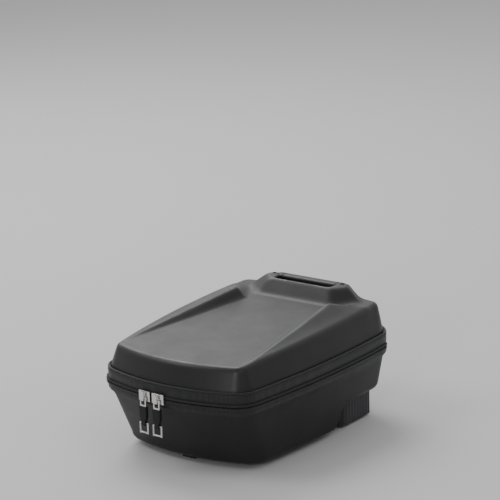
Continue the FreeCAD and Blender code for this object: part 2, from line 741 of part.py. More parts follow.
def hump(label, inset):
    """Raised front of the lid, from inside the deck's thickness to its flat top."""
    right_low = [(54.3 - inset, 133.8 + inset), (82.7 - inset, 159.3 + inset),
                 (70.1 - inset, 179.1 - inset)]
    right_top = [(44.0 - inset, 151.5 + inset * 0.6), (54.0 - inset, 163.0), (53.5 - inset, 183.5 - inset)]
    low = right_low + [(-x, y) for x, y in reversed(right_low)]
    top = right_top + [(-x, y) for x, y in reversed(right_top)]
    return part_loft(label, [level_polygon(label + "_low", 130.6 - inset, low),
                             level_polygon(label + "_top", 149.0 - inset, top)])


rail = part_loft("rail_right", rail_sections("rail_section", 0.0))
rail_room = part_loft("rail_room_right", rail_sections("rail_room_section", number("wall")))
lid_flange = band("lid_flange", "lid_low", "ledge_high", "- wall", "rim_out")
lid_outer = boolean("Fuse", "lid_outer", [
    lid_block("lid_solid", "lid_low", "0", "0"), rail, mirrored("rail_left", rail),
    hump("hump_solid", 0.0), lid_flange])
lid_room = boolean("Fuse", "lid_room", [
    lid_block("lid_hollow", "lid_low - 2", "- wall", "wall"), rail_room,
    mirrored("rail_room_left", rail_room), hump("hump_hollow", number("wall"))])


def scoop(label, more):
    """Hand recess with the seats of the handle, thickened on every side."""
    return boolean("Fuse", label, [
        block(label + "_recess", less("- scoop_half", more), less("scoop_back", more),
              less("scoop_floor", more), "scoop_half + scoop_half + %s + %s" % (more, more), "60", "60"),
        block(label + "_seat", less("- grip_half - 0.3", more), less("grip_back - 0.5", more),
              less("grip_seat - 0.3", more), "grip_half + grip_half + 0.6 + %s + %s" % (more, more),
              "40", "30")])


lid_cut = boolean("Cut", "lid_cut", [
    boolean("Cut", "lid_scooped", [lid_outer, scoop("scoop_open", "0")]),
    boolean("Cut", "lid_kept_room", [lid_room, scoop("scoop_keep", "wall")])])
ENDS = [("left", "- grip_screw"), ("right", "grip_screw")]


def handle_rods(label, z, radius, length):
    """One rod on the axis of each handle screw."""
    return [rod("%s_%s" % (label, name), x, "grip_back + grip_screw_ahead", z, radius, length)
            for name, x in ENDS]


node("lid_shell", boolean("Cut", "lid_shell", [lid_cut, boolean(
    "Fuse", "grip_hole_set", handle_rods("grip_hole", "130", "grip_screw_rad + 0.3", "30"))]))
node("lid_piping", band("lid_cord", "ledge_high + 0.2", "ledge_high + 2.4", "0.4", "tape_out"))

lining_lid = boolean("Cut", "lid_lining_skin", [
    lid_block("lid_lining_outer", "lid_low - 2", "- wall - lining_gap", "wall + lining_gap"),
    scoop("scoop_lining", "wall + lining_gap")])
lining_lid_room = boolean("Cut", "lid_lining_room", [
    lid_block("lid_lining_inner", "lid_low - 3", "- wall - lining_gap - lining",
              "wall + lining_gap + lining"),
    scoop("scoop_lining_room", "wall + lining_gap + lining")])
node("lid_liner", boolean("Cut", "lid_liner", [lining_lid, lining_lid_room]))


# ------------------------------------------------------------------ net pocket under the deck
def tilted_slab(label, half_x, low_y, high_y, drop, thick, hole=None):
    body = new_body(label)
    plan = new_sketch(body, label + "_plan", "deck_level - %s" % drop, tilt="deck_tilt")
    rectangle(plan, "- " + half_x, low_y, half_x, high_y)
    if hole:
        rectangle(plan, "- %s + %s" % (half_x, hole), "%s + %s" % (low_y, hole),
                  "%s - %s" % (half_x, hole), "%s - %s" % (high_y, hole))
    pad(body, plan, thick)
    return body


node("mesh_binding", tilted_slab("mesh_frame", "72", "-60", "120", "14.4", "8.4", hole="4"))
node("mesh_panel", tilted_slab("mesh_net", "67.6", "-55.6", "115.6", "13.4", "0.8"))


# ------------------------------------------------------------------ carry handle
def carry_handle():
    body = new_body("grip")
    profile = new_sketch(body, "grip_profile", "- grip_back", "XZ_Plane")
    polygon(profile, [("- grip_half", "grip_seat"), ("- scoop_half", "grip_seat"),
                      ("- scoop_half + 7", "grip_seat - 2.6"), ("scoop_half - 7", "grip_seat - 2.6"),
                      ("scoop_half", "grip_seat"), ("grip_half", "grip_seat"),
                      ("grip_half", "grip_seat + 6.5"), ("grip_half - 8", "grip_seat + 8.6"),
                      ("8 - grip_half", "grip_seat + 8.6"), ("- grip_half", "grip_seat + 6.5")])
    feature = pad(body, profile, "grip_deep")
    feature.Reversed = True
    round_edges(body, "2.4", lambda box: box.XLength > 50)
    return body


node("carry_handle", boolean("Cut", "carry_handle", [carry_handle(), boolean(
    "Fuse", "grip_bore_set", handle_rods("grip_bore", "130", "grip_screw_rad + 0.3", "40")
    + handle_rods("grip_sink", "grip_seat + 4.8", "grip_head + 0.4", "10"))]))


def handle_screw(name, x):
    """Pan head screw with a hexagon socket."""
    y = "grip_back + grip_screw_ahead"
    whole = boolean("Fuse", "handle_screw_body_" + name, [
        rod("handle_screw_shank_" + name, x, y, "grip_seat - 9", "grip_screw_rad", "15"),
        rod("handle_screw_head_" + name, x, y, "grip_seat + 4.9", "grip_head", "3")])
    socket = doc.addObject("Part::Prism", "handle_screw_socket_" + name)
    socket.Polygon = 6
    for prop, text in (("Circumradius", "1.5"), ("Height", "3"), ("Placement.Base.x", x),
                       ("Placement.Base.y", y), ("Placement.Base.z", "grip_seat + 6.2")):
        bind(socket, prop, text)
    return boolean("Cut", "handle_screw_" + name, [whole, socket])


def handle_plate(name, x):
    """Threaded plate under the handle seat, inside the lid."""
    return boolean("Cut", "handle_plate_" + name, [
        block("handle_plate_sheet_" + name, x + " - 3.4", "grip_back + 1.7", "grip_seat - wall - 3",
              "6.8", "6", "2.4"),
        rod("handle_plate_hole_" + name, x, "grip_back + grip_screw_ahead", "130",
            "grip_screw_rad + 0.05", "12")])


node("handle_screws", group("handle_screws", [handle_screw(name, x) for name, x in ENDS]))
node("handle_plates", group("handle_plates", [handle_plate(name, x) for name, x in ENDS]))


# ------------------------------------------------------------------ sliders and pullers
def back_block(label, x0, x1, out0, out1, z0, z1):
    """Box behind the middle of the back wall: out0 and out1 are distances outside the wall line."""
    return block(label, str(x0), less("- back_reach", out1), z0, "%s" % round(x1 - x0, 3),
                 less(out1, out0), less(z1, z0))


def slider(side, nose):
    """Slider that runs on the coils, open at the top so the lid's half can lift out.
    nose is +1 or -1: the end that carries the wedge."""
    name = "slider_" + side
    half = number("slider_half")
    wedge = sorted((nose * 1.5, nose * (half - 0.4)))
    front, crown = "coil_out + 0.4", "coil_out + 0.4 + plate_thick"
    pieces = [
        back_block(name + "_back", -half, half, "plate_in", "plate_in + plate_thick", "slider_low",
                   "slider_high"),
        back_block(name + "_front", -half, half, front, crown, "slider_low", "slider_high + 0.2"),
        back_block(name + "_lip", -half, half, "tape_out + 0.4", front + " + 0.1", "slider_low",
                   "seam_high - 3.8"),
        back_block(name + "_wedge", wedge[0], wedge[1], "plate_in + plate_thick - 0.1",
                   front + " + 0.1", "seam_high - 0.5", "seam_high + 0.5"),
        back_block(name + "_bridge", -1.7, 1.7, crown + " - 0.1", "pivot_out + 2.2", "slider_low + 1",
                   "slider_high - 0.6"),
    ]
    window = back_block(name + "_window", -5, 5, crown, "pivot_out + 1.2", "pivot_high - 1.5",
                        "slider_high - 2.2")
    body = boolean("Cut", name + "_body", [boolean("Fuse", name + "_solid", pieces), window])
    return node(name, turned(name, body, "slider_%s_turn" % side))


def pull_link(side):
    """Wire eye and plate that hang from the slider's bridge."""
    name = "pull_link_" + side
    near, far = "pivot_out - 0.9", "pivot_out + 0.9"
    pieces = [rod(name + "_bar", "-4.4", "- back_reach - pivot_out", "pivot_high", "0.9", "8.8", "X")]
    for i, x in enumerate((-4.4, 2.6)):
        pieces.append(back_block("%s_arm_%d" % (name, i + 1), x, x + 1.8, near, far, "74.6", "pivot_high"))
    pieces.append(back_block(name + "_plate", -4.4, 4.4, near, far, "67.4", "75"))
    return node(name, turned(name, boolean("Fuse", name + "_solid", pieces), "slider_%s_turn" % side))


def pull_tab(side):
    """Moulded tab over the link's plate, with a cross hole for the end loop."""
    name = "pull_tab_" + side
    body = new_body(name + "_tab")
    outer = new_sketch(body, name + "_front", "back_reach + pivot_out - 2.2", "XZ_Plane")
    polygon(outer, [("- 5.2", "tab_low + 21.6"), ("- 5.2", "tab_low + 10"), ("- 3.3", "tab_low + 5"),
                    ("- 3.3", "tab_low"), ("3.3", "tab_low"), ("3.3", "tab_low + 5"),
                    ("5.2", "tab_low + 10"), ("5.2", "tab_low + 21.6")])
    pad(body, outer, "4.4")
    round_edges(body, "0.8", lambda box: box.YLength < 0.1 and box.ZLength > 4)
    slot = back_block(name + "_slot", -4.7, 4.7, "pivot_out - 1.2", "pivot_out + 1.2", "67.1", "75")
    hole = rod(name + "_hole", "-8", "- back_reach - pivot_out", "loop_high", "1.35", "16", "X")
    cut = boolean("Cut", name + "_cut", [body, boolean("Fuse", name + "_voids", [slot, hole])])
    return node(name, turned(name, cut, "slider_%s_turn" % side))


def end_loop(side):
    """Squared ring of round wire through the tab: takes a small padlock."""
    name = "end_loop_" + side
    y = "- back_reach - pivot_out"
    pieces = [
        rod(name + "_top", "-5.6", y, "loop_high", "1.1", "11.2", "X"),
        rod(name + "_foot", "-5.6", y, "loop_high - 11", "1.1", "11.2", "X"),
        rod(name + "_one", "-5.6", y, "loop_high - 12.1", "1.1", "13.2"),
        rod(name + "_two", "5.6", y, "loop_high - 12.1", "1.1", "13.2"),
    ]
    return node(name, turned(name, boolean("Fuse", name + "_wire", pieces), "slider_%s_turn" % side))


for side, nose in (("left", 1), ("right", -1)):
    slider(side, nose)
    pull_link(side)
    pull_tab(side)
    end_loop(side)

# ------------------------------------------------------------------ checks and export
doc.recompute()
faults = []
for thing in doc.Objects:
    if "Invalid" in thing.State or "Error" in thing.State:
        faults.append("%s is in state %s" % (thing.Label, thing.State))
for name, thing in nodes.items():
    if thing.Shape.isNull() or not thing.Shape.isValid():
        faults.append("%s has no valid shape" % name)
    elif not thing.Shape.Solids:
        faults.append("%s has no solid" % name)
if faults:
    raise RuntimeError("; ".join(faults))

for name, thing in nodes.items():
    thing.Shape.exportStep("parts/%s.step" % name)
    box = thing.Shape.BoundBox
    print("%-18s %2d solid(s) %9.0f mm3  x %7.1f %7.1f  y %7.1f %7.1f  z %6.1f %6.1f" % (
        name, len(thing.Shape.Solids), thing.Shape.Volume, box.XMin, box.XMax, box.YMin, box.YMax,
        box.ZMin, box.ZMax))
print("%d nodes" % len(nodes))
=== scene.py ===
"""Looks of a motorcycle tank bag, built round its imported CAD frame.

The bag's lengths are millimetres in the CAD's own frame, turned into metres where a mesh is made.
The floor, lamps and camera, and the depths of the materials' bumps, are in metres.
+X is the rider's right, +Y points to the handlebar, +Z is up, the origin is under the lock ring.
"""
import math

import bmesh
import bpy
import numpy as np
from mathutils import Matrix, Vector, noise


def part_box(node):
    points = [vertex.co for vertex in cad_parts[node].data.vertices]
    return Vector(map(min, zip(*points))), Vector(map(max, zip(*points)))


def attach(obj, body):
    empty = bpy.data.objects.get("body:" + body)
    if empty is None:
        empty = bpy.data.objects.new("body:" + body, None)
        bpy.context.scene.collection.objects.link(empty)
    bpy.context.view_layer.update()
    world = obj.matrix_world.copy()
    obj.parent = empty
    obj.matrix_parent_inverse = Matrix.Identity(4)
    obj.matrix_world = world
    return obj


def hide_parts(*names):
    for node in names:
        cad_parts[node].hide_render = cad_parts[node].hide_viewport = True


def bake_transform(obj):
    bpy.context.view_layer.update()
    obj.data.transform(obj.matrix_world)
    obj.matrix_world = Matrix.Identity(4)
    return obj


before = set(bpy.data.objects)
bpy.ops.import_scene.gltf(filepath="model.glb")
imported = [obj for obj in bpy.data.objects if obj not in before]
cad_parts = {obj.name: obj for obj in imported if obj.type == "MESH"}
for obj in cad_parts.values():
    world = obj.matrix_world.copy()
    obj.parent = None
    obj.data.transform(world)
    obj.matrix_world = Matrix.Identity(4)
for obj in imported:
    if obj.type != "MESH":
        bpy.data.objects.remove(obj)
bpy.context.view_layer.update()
MM = 0.001

# ------------------------------------------------------------------ the bag's own dimensions
HALF_MID, MID_AHEAD, SIDE_BOW = 110.0, 84.0, 1185.0
BACK_REACH, BACK_BOW, BACK_TURN = 117.5, 234.6, 27.0
FORE_REACH, FORE_BOW, FORE_TURN = 195.0, 471.0, 34.0
TUB_LOW, WAIST_HIGH, TUB_HIGH, RIM_HIGH = 6.0, 66.0, 73.6, 78.4
SEAM_HIGH, LID_LOW, LEDGE_HIGH, WALL_HIGH = 85.0, 91.6, 99.0, 101.0
DECK_LEVEL, DECK_SLOPE, LID_TURN, LEAN = 128.8, math.tan(math.radians(1.555)), 12.0, 10.0
WALL, RIM_OUT, LINING_GAP, LINING = 3.2, 2.4, 1.0, 1.4
STEP_HIGH, RAMP_FOOT, RAMP_TOP = 32.0, 71.0, 86.0
LOW_ROUND, RING_RAD, RING_HIGH = 8.0, 66.0, 14.0
LINING_FLOOR, LINING_ROUND = 27.0, 6.0
TAPE_IN, TAPE_OUT = 2.7, 3.7
TEETH_OUT, TEETH_PITCH, STITCH_PITCH = 4.7, 1.55, 3.1
CHAIN_END = 168.0
HUMP_LOW, HUMP_TOP = 130.6, 149.0
RAIL_BACK, RAIL_FRONT = -84.0, 113.0

# how many steps each stretch of the plan is cut into, from the middle of the back to the middle of the front
END_STEPS, CORNER_STEPS, SIDE_STEPS = 40, 16, 104
HALF_RING = 2 * END_STEPS + 2 * CORNER_STEPS + SIDE_STEPS
RING = 2 * HALF_RING
QUARTER = END_STEPS + CORNER_STEPS // 2


# ------------------------------------------------------------------ plan of the bag
def crossing(one, one_rad, two, two_rad, ahead):
    """Where two circles meet at x > 0, at the front (ahead) or at the back."""
    gap = math.dist(one, two)
    along = (one_rad ** 2 - two_rad ** 2 + gap ** 2) / (2 * gap)
    across = math.sqrt(max(one_rad ** 2 - along ** 2, 0.0))
    ux, uy = (two[0] - one[0]) / gap, (two[1] - one[1]) / gap
    found = []
    for sign in (1, -1):
        found.append((one[0] + ux * along - uy * across * sign, one[1] + uy * along + ux * across * sign))
    right = [p for p in found if p[0] > 0] or found
    return max(right, key=lambda p: p[1] if ahead else -p[1])


def heading(start, end):
    return math.atan2(end[1] - start[1], end[0] - start[0])


def plan(grow=0.0, side=0.0, back=0.0, fore=0.0, back_turn=BACK_TURN, fore_turn=FORE_TURN):
    """Closed ring of points round the bag.

    side, back and fore pull that wall in; grow offsets the whole ring.
    """
    flank = (HALF_MID - side - SIDE_BOW, MID_AHEAD)
    rear = (0.0, BACK_BOW - BACK_REACH + back)
    front = (0.0, FORE_REACH - fore - FORE_BOW)
    low = crossing(flank, SIDE_BOW - back_turn, rear, BACK_BOW - back_turn, False)
    high = crossing(flank, SIDE_BOW - fore_turn, front, FORE_BOW - fore_turn, True)
    arcs = [
        (rear, BACK_BOW, -math.pi / 2, heading(rear, low), END_STEPS),
        (low, back_turn, heading(rear, low), heading(flank, low), CORNER_STEPS),
        (flank, SIDE_BOW, heading(flank, low), heading(flank, high), SIDE_STEPS),
        (high, fore_turn, heading(flank, high), heading(front, high), CORNER_STEPS),
        (front, FORE_BOW, heading(front, high), math.pi / 2, END_STEPS),
    ]
    half = [(0.0, rear[1] - BACK_BOW - grow)]
    for centre, radius, start, stop, steps in arcs:
        for i in range(1, steps + 1):
            turn = start + (stop - start) * i / steps
            half.append((centre[0] + (radius + grow) * math.cos(turn),
                         centre[1] + (radius + grow) * math.sin(turn)))
    half[-1] = (0.0, half[-1][1])
    return np.array(half + [(-x, y) for x, y in half[-2:0:-1]])


def raised(ring, height):
    """A plan ring as points in space; height is a number or one per point."""
    return np.column_stack([ring, np.broadcast_to(height, len(ring))])


def mix(a, b, share):
    return a + (b - a) * share


# ------------------------------------------------------------------ heights
def smooth_min(a, b, soft):
    share = np.clip(0.5 + 0.5 * (b - a) / soft, 0.0, 1.0)
    return b + (a - b) * share - soft * share * (1 - share)


def smooth_max(a, b, soft):
    return -smooth_min(-a, -b, soft)


def plane(a, b, c):
    """Height function of the plane through three points."""
    normal = np.cross(np.subtract(b, a), np.subtract(c, a))
    return lambda x, y: a[2] - (normal[0] * (x - a[0]) + normal[1] * (y - a[1])) / normal[2]


HUMP_FACES = [
    plane((-54.3, 133.8, HUMP_LOW), (54.3, 133.8, HUMP_LOW), (0.0, 151.5, HUMP_TOP)),
    plane((54.3, 133.8, HUMP_LOW), (82.7, 159.3, HUMP_LOW), (49.0, 157.3, HUMP_TOP)),
    plane((82.7, 159.3, HUMP_LOW), (70.1, 179.1, HUMP_LOW), (53.8, 173.2, HUMP_TOP)),
]


def deck(y):
    return DECK_LEVEL + y * DECK_SLOPE


def rail_lines(y):
    """Inner foot, crest, outer edge and rise of the rails at each distance ahead."""
    along = np.clip((y - RAIL_BACK) / (RAIL_FRONT - RAIL_BACK), 0.0, 1.0)
    past = np.clip((y - RAIL_FRONT) / 45.0, 0.0, 1.0)
    crest = 86.0 - 22.0 * along + 28.0 * past
    foot = crest - 2.0 - 8.0 * along + 4.0 * past
    outer = HALF_MID - LEAN - 0.4 - (y - MID_AHEAD) ** 2 / (2 * SIDE_BOW)
    rise = np.maximum(0.4 + 13.0 * along - 13.9 * past, 0.0)
    return foot, crest, outer, rise


def lid_height(x, y):
    """Top of the lid: tilted deck, two rails and the hump, with softened edges."""
    across = np.abs(x)
    foot, crest, outer, rise = rail_lines(y)
    inside = rise * (across - foot) / (crest - foot)
    outside = rise * (outer - across) / np.maximum(outer - crest, 2.0)
    soft = 2.0 + 6.0 * np.clip((y - RAIL_BACK) / 120.0, 0.0, 1.0)
    rail = smooth_max(smooth_min(inside, outside, soft), np.zeros_like(across), 0.8 * soft)
    top = np.full_like(across, HUMP_TOP)
    for face in HUMP_FACES:
        top = smooth_min(top, face(across, y), 3.2)
    return smooth_max(deck(y) + rail, top, 5.0)


def flat_deck(x, y):
    """The deck with neither rails nor hump, which the lining follows."""
    return deck(y) + 0.0 * x


def tub_floor(y):
    """Underside of the tub: flat, a ramp, then the raised floor at the front."""
    share = np.clip((y - RAMP_FOOT) / (RAMP_TOP - RAMP_FOOT), 0.0, 1.0)
    return TUB_LOW + (STEP_HIGH - TUB_LOW) * (0.65 * share + 0.35 * share * share * (3 - 2 * share))


# ------------------------------------------------------------------ mesh making
def make(name, points, faces):
    mesh = bpy.data.meshes.new(name)
    mesh.from_pydata([tuple(p) for p in np.asarray(points, float) * MM], [], faces)
    piece = bpy.data.objects.new(name, mesh)
    bpy.context.scene.collection.objects.link(piece)
    return piece


def strip_faces(count, rings, closed=True):
    """Quads between rings that follow one another, count points in each."""
    faces = []
    last = count if closed else count - 1
    for r in range(rings - 1):
        for i in range(last):
            j = (i + 1) % count
            faces.append((r * count + i, r * count + j, (r + 1) * count + j, (r + 1) * count + i))
    return faces


def loft(name, rings, loop=False, caps=False, closed=True):
    """Skin over rings of equal length; loop joins the last ring to the first, caps closes both ends."""
    count = len(rings[0])
    faces = strip_faces(count, len(rings), closed)
    if loop:
        start = (len(rings) - 1) * count
        faces += [(start + i, start + (i + 1) % count, (i + 1) % count, i) for i in range(count)]
    if caps:
        faces.append(tuple(range(count))[::-1])
        faces.append(tuple(range((len(rings) - 1) * count, len(rings) * count)))
    return make(name, np.vstack(rings), faces)


def edit(piece, work):
    """Runs work(bm) on the piece's mesh."""
    bm = bmesh.new()
    bm.from_mesh(piece.data)
    work(bm)
    bm.to_mesh(piece.data)
    bm.free()
    piece.data.update()


def outward(piece):
    edit(piece, lambda bm: bmesh.ops.recalc_face_normals(bm, faces=bm.faces))


def shade(piece, limit=38.0):
    """Smooth shading, with edges sharper than the limit left crisp."""
    def work(bm):
        for face in bm.faces:
            face.smooth = True
        for edge in bm.edges:
            edge.smooth = not (edge.is_manifold and edge.calc_face_angle(0.0) > math.radians(limit))

    edit(piece, work)


def applied(piece):
    """Turns the piece's modifiers into its own mesh."""
    graph = bpy.context.evaluated_depsgraph_get()
    mesh = bpy.data.meshes.new_from_object(piece.evaluated_get(graph))
    piece.modifiers.clear()
    piece.data = mesh
    return piece


def cut(piece, *tools):
    for tool in tools:
        modifier = piece.modifiers.new("cut", "BOOLEAN")
        modifier.operation = "DIFFERENCE"
        modifier.solver = "EXACT"
        modifier.object = tool
    applied(piece)
    for tool in tools:
        bpy.data.objects.remove(tool)
    return piece


def thicken(piece, thickness):
    """Gives an open skin a thickness on its inner side."""
    modifier = piece.modifiers.new("wall", "SOLIDIFY")
    modifier.thickness = thickness * MM
    modifier.offset = -1.0
    modifier.use_even_offset = True
    return applied(piece)


def finish_piece(piece, body, material, slot, *nodes, limit=38.0):
    """Material, shading, the body it rides on and the CAD nodes it stands for; slot is not used."""
    piece.data.materials.clear()
    piece.data.materials.append(material)
    shade(piece, limit)
    if body:
        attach(piece, body)
    if nodes:
        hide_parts(*nodes)
    return piece


def rounded_box(low, high, radius, steps=4):
    """Corners and faces of a box whose twelve edges are rounded."""
    bm = bmesh.new()
    bmesh.ops.create_cube(bm, size=1.0)
    size, middle = Vector(high) - Vector(low), (Vector(high) + Vector(low)) / 2
    bmesh.ops.transform(bm, matrix=Matrix.Translation(middle) @ Matrix.Diagonal((*size, 1.0)),
                        verts=bm.verts)
    bmesh.ops.bevel(bm, geom=bm.edges[:], offset=radius, segments=steps, profile=0.5, affect="EDGES")
    points = np.array([v.co for v in bm.verts])
    faces = [tuple(v.index for v in f.verts) for f in bm.faces]
    bm.free()
    return points, faces


def many(name, points, faces, places):
    """Copies of a small shape at (origin, tangent, outward, up) places, joined into one mesh."""
    all_points, all_faces = [], []
    for origin, tangent, out, up in places:
        base = len(all_points) * len(points)
        all_points.append(origin + points @ np.array([tangent, out, up]))
        all_faces += [tuple(base + i for i in face) for face in faces]
    return make(name, np.vstack(all_points), all_faces)


def walk(ring, pitch, shift=0.0, end=None):
    """Evenly spaced places on a plan ring: (x, y) and the outward normal. end keeps those behind it."""
    loop = np.vstack([ring, ring[:1]])
    steps = np.linalg.norm(np.diff(loop, axis=0), axis=1)
    total = np.concatenate([[0.0], np.cumsum(steps)])
    count = int(total[-1] / pitch)
    found = []
    for k in range(count):
        s = (k + shift) * total[-1] / count
        i = min(int(np.searchsorted(total, s, side="right")) - 1, len(ring) - 1)
        spot = mix(loop[i], loop[i + 1], (s - total[i]) / steps[i])
        tangent = (loop[i + 1] - loop[i]) / steps[i]
        if end is None or spot[1] < end:
            found.append((spot, np.array([tangent[1], -tangent[0]])))
    return found


def places_on(ring, height, pitch, shift=0.0, end=None):
    """The same places as frames for many(): along the ring, outwards and up."""
    frames = []
    for spot, out in walk(ring, pitch, shift, end):
        frames.append((np.array([spot[0], spot[1], height]), np.array([-out[1], out[0], 0.0]),
                       np.array([out[0], out[1], 0.0]), np.array([0.0, 0.0, 1.0])))
    return frames


# ------------------------------------------------------------------ materials
def new_material(name, color, roughness, metallic=0.0, specular=0.5, sheen=0.0):
    material = bpy.data.materials.new(name)
    material.use_nodes = True
    tree = material.node_tree
    shader = tree.nodes["Principled BSDF"]
    shader.inputs["Base Color"].default_value = (*color, 1.0)
    shader.inputs["Roughness"].default_value = roughness
    shader.inputs["Metallic"].default_value = metallic
    shader.inputs["Specular IOR Level"].default_value = specular
    shader.inputs["Sheen Weight"].default_value = sheen
    return material, tree, shader


def add(tree, kind, **values):
    node = tree.nodes.new(kind)
    for key, value in values.items():
        if hasattr(node, key):
            setattr(node, key, value)
        else:
            node.inputs[key.replace("_", " ")].default_value = value
    return node


def spot_on(tree, stretch=(1.0, 1.0, 1.0)):
    """The piece's own coordinates, stretched."""
    source = add(tree, "ShaderNodeTexCoord")
    scaled = add(tree, "ShaderNodeMapping")
    scaled.inputs["Scale"].default_value = stretch
    tree.links.new(source.outputs["Object"], scaled.inputs["Vector"])
    return scaled.outputs["Vector"]


def texture(tree, kind, vector, **values):
    node = add(tree, kind, **values)
    tree.links.new(vector, node.inputs["Vector"])
    return node


def ranged(tree, value, low, high, to_low, to_high):
    node = add(tree, "ShaderNodeMapRange")
    for key, number in (("From Min", low), ("From Max", high), ("To Min", to_low), ("To Max", to_high)):
        node.inputs[key].default_value = number
    tree.links.new(value, node.inputs["Value"])
    return node.outputs["Result"]


def maths(tree, operation, a, b):
    """One operation on two values, each a number or a node's output."""
    node = add(tree, "ShaderNodeMath", operation=operation)
    for socket, value in zip(node.inputs, (a, b)):
        if isinstance(value, (int, float)):
            socket.default_value = value
        else:
            tree.links.new(value, socket)
    return node.outputs["Value"]


def blend_colors(tree, share, a, b):
    """Colour from a to b as share goes from 0 to 1."""
    node = add(tree, "ShaderNodeMix", data_type="RGBA")
    tree.links.new(share, node.inputs["Factor"])
    for socket, value in ((node.inputs[6], a), (node.inputs[7], b)):
        if isinstance(value, tuple):
            socket.default_value = (*value, 1.0)
        else:
            tree.links.new(value, socket)
    return node.outputs[2]


def bump(tree, shader, heights):
    """Chains (height, depth in metres, strength) into the shader's normal."""
    before = None
    for height, depth, strength in heights:
        node = add(tree, "ShaderNodeBump")
        node.inputs["Distance"].default_value = depth
        node.inputs["Strength"].default_value = strength
        tree.links.new(height, node.inputs["Height"])
        if before:
            tree.links.new(before, node.inputs["Normal"])
        before = node.outputs["Normal"]
    tree.links.new(before, shader.inputs["Normal"])


def tinted(color, factor):
    return tuple(min(c * factor, 1.0) for c in color)


def moulded(name, color, roughness, grain=1500.0, depth=0.00006, specular=0.5, wear_and_highlight=2.2):
    """Grained moulded skin: cell grain, faint mottling, ridges painted lighter as rubbed wear and as a
    painted highlight, and a few fine scuffs.
    """
    material, tree, shader = new_material(name, color, roughness, specular=specular)
    vector = spot_on(tree)
    cells = texture(tree, "ShaderNodeTexVoronoi", vector, Scale=grain, Randomness=1.0)
    clouds = texture(tree, "ShaderNodeTexNoise", vector, Scale=26.0, Detail=5.0, Roughness=0.6)
    fine = texture(tree, "ShaderNodeTexNoise", vector, Scale=420.0, Detail=3.0)
    scuffs = texture(tree, "ShaderNodeTexNoise", spot_on(tree, (14.0, 160.0, 60.0)), Scale=3.0, Detail=6.0,
                     Distortion=0.4)
    geometry = add(tree, "ShaderNodeNewGeometry")
    ridge = ranged(tree, geometry.outputs["Pointiness"], 0.505, 0.56, 0.0, 1.0)
    # ridges painted lighter: partly rubbed wear, partly a painted highlight along the crests
    ridge_wear_and_highlight = maths(tree, "MULTIPLY", ridge, ranged(tree, clouds.outputs["Fac"], 0.35, 0.7, 0.25, 1.0))
    mottled = blend_colors(tree, clouds.outputs["Fac"], tinted(color, 0.82), tinted(color, 1.22))
    wear_and_highlight_color = blend_colors(tree, ridge_wear_and_highlight, mottled, tinted(color, wear_and_highlight))
    scratch = ranged(tree, scuffs.outputs["Fac"], 0.68, 0.78, 0.0, 0.35)
    final = blend_colors(tree, scratch, wear_and_highlight_color, tinted(color, wear_and_highlight))
    tree.links.new(final, shader.inputs["Base Color"])
    gloss = ranged(tree, clouds.outputs["Fac"], 0.3, 0.7, roughness + 0.05, roughness - 0.05)
    tree.links.new(maths(tree, "SUBTRACT", gloss, maths(tree, "MULTIPLY", ridge_wear_and_highlight, 0.08)),
                   shader.inputs["Roughness"])
    bump(tree, shader, [(fine.outputs["Fac"], 0.00004, 0.35), (cells.outputs["Distance"], depth, 0.8)])
    return material


def woven(name, color, yarn=0.0011, rough=0.8, sheen=0.25, depth=0.00022, lighter=1.5, darker=0.6):
    """Woven cloth: warp and weft of one yarn width, uneven yarns, yarn tops painted lighter and the gaps
    between them painted darker as shade, and a soft sheen.
    """
    material, tree, shader = new_material(name, color, rough, specular=0.25, sheen=sheen)
    turns = math.pi / yarn / 20.0
    vector = spot_on(tree)
    warp = texture(tree, "ShaderNodeTexWave", vector, wave_type="BANDS",
                   bands_direction="X", Scale=turns, Distortion=0.6, Detail=1.0)
    weft = texture(tree, "ShaderNodeTexWave", vector, wave_type="BANDS", bands_direction="Z", Scale=turns,
                   Distortion=0.6, Detail=1.0)
    fill = texture(tree, "ShaderNodeTexWave", vector, wave_type="BANDS", bands_direction="Y", Scale=turns,
                   Distortion=0.6, Detail=1.0)
    yarns = maths(tree, "MAXIMUM", maths(tree, "MULTIPLY", warp.outputs["Fac"], weft.outputs["Fac"]),
                   maths(tree, "MULTIPLY", fill.outputs["Fac"],
                          maths(tree, "MAXIMUM", warp.outputs["Fac"], weft.outputs["Fac"])))
    clouds = texture(tree, "ShaderNodeTexNoise", vector, Scale=60.0, Detail=4.0)
    # painted light and shade: raised yarns coloured lighter, the gaps between them darker
    yarn_light_and_shade = blend_colors(tree, yarns, tinted(color, darker), tinted(color, lighter))
    final = blend_colors(tree, ranged(tree, clouds.outputs["Fac"], 0.3, 0.7, 0.0, 0.35), yarn_light_and_shade, color)
    tree.links.new(final, shader.inputs["Base Color"])
    fuzz = texture(tree, "ShaderNodeTexNoise", vector, Scale=2500.0, Detail=2.0)
    bump(tree, shader, [(yarns, depth, 0.8), (fuzz.outputs["Fac"], 0.00005, 0.5)])
    return material


def plated(name, color, roughness=0.28):
    """Plated metal: clouded gloss, fine scratches and hollows painted darker as shade."""
    material, tree, shader = new_material(name, color, roughness, metallic=1.0)
    vector = spot_on(tree)
    clouds = texture(tree, "ShaderNodeTexNoise", vector, Scale=300.0, Detail=5.0)
    lines = texture(tree, "ShaderNodeTexNoise", spot_on(tree, (1.0, 1.0, 12.0)), Scale=700.0, Detail=3.0)
    geometry = add(tree, "ShaderNodeNewGeometry")
    # painted shade: the hollows of the metal are darkened where light reaches them less
    hollow_shade = ranged(tree, geometry.outputs["Pointiness"], 0.42, 0.5, 0.0, 1.0)
    tree.links.new(blend_colors(tree, hollow_shade, tinted(color, 0.45), color), shader.inputs["Base Color"])
    tree.links.new(ranged(tree, clouds.outputs["Fac"], 0.3, 0.7, roughness - 0.08, roughness + 0.1),
                   shader.inputs["Roughness"])
    bump(tree, shader, [(lines.outputs["Fac"], 0.00003, 0.25)])
    return material


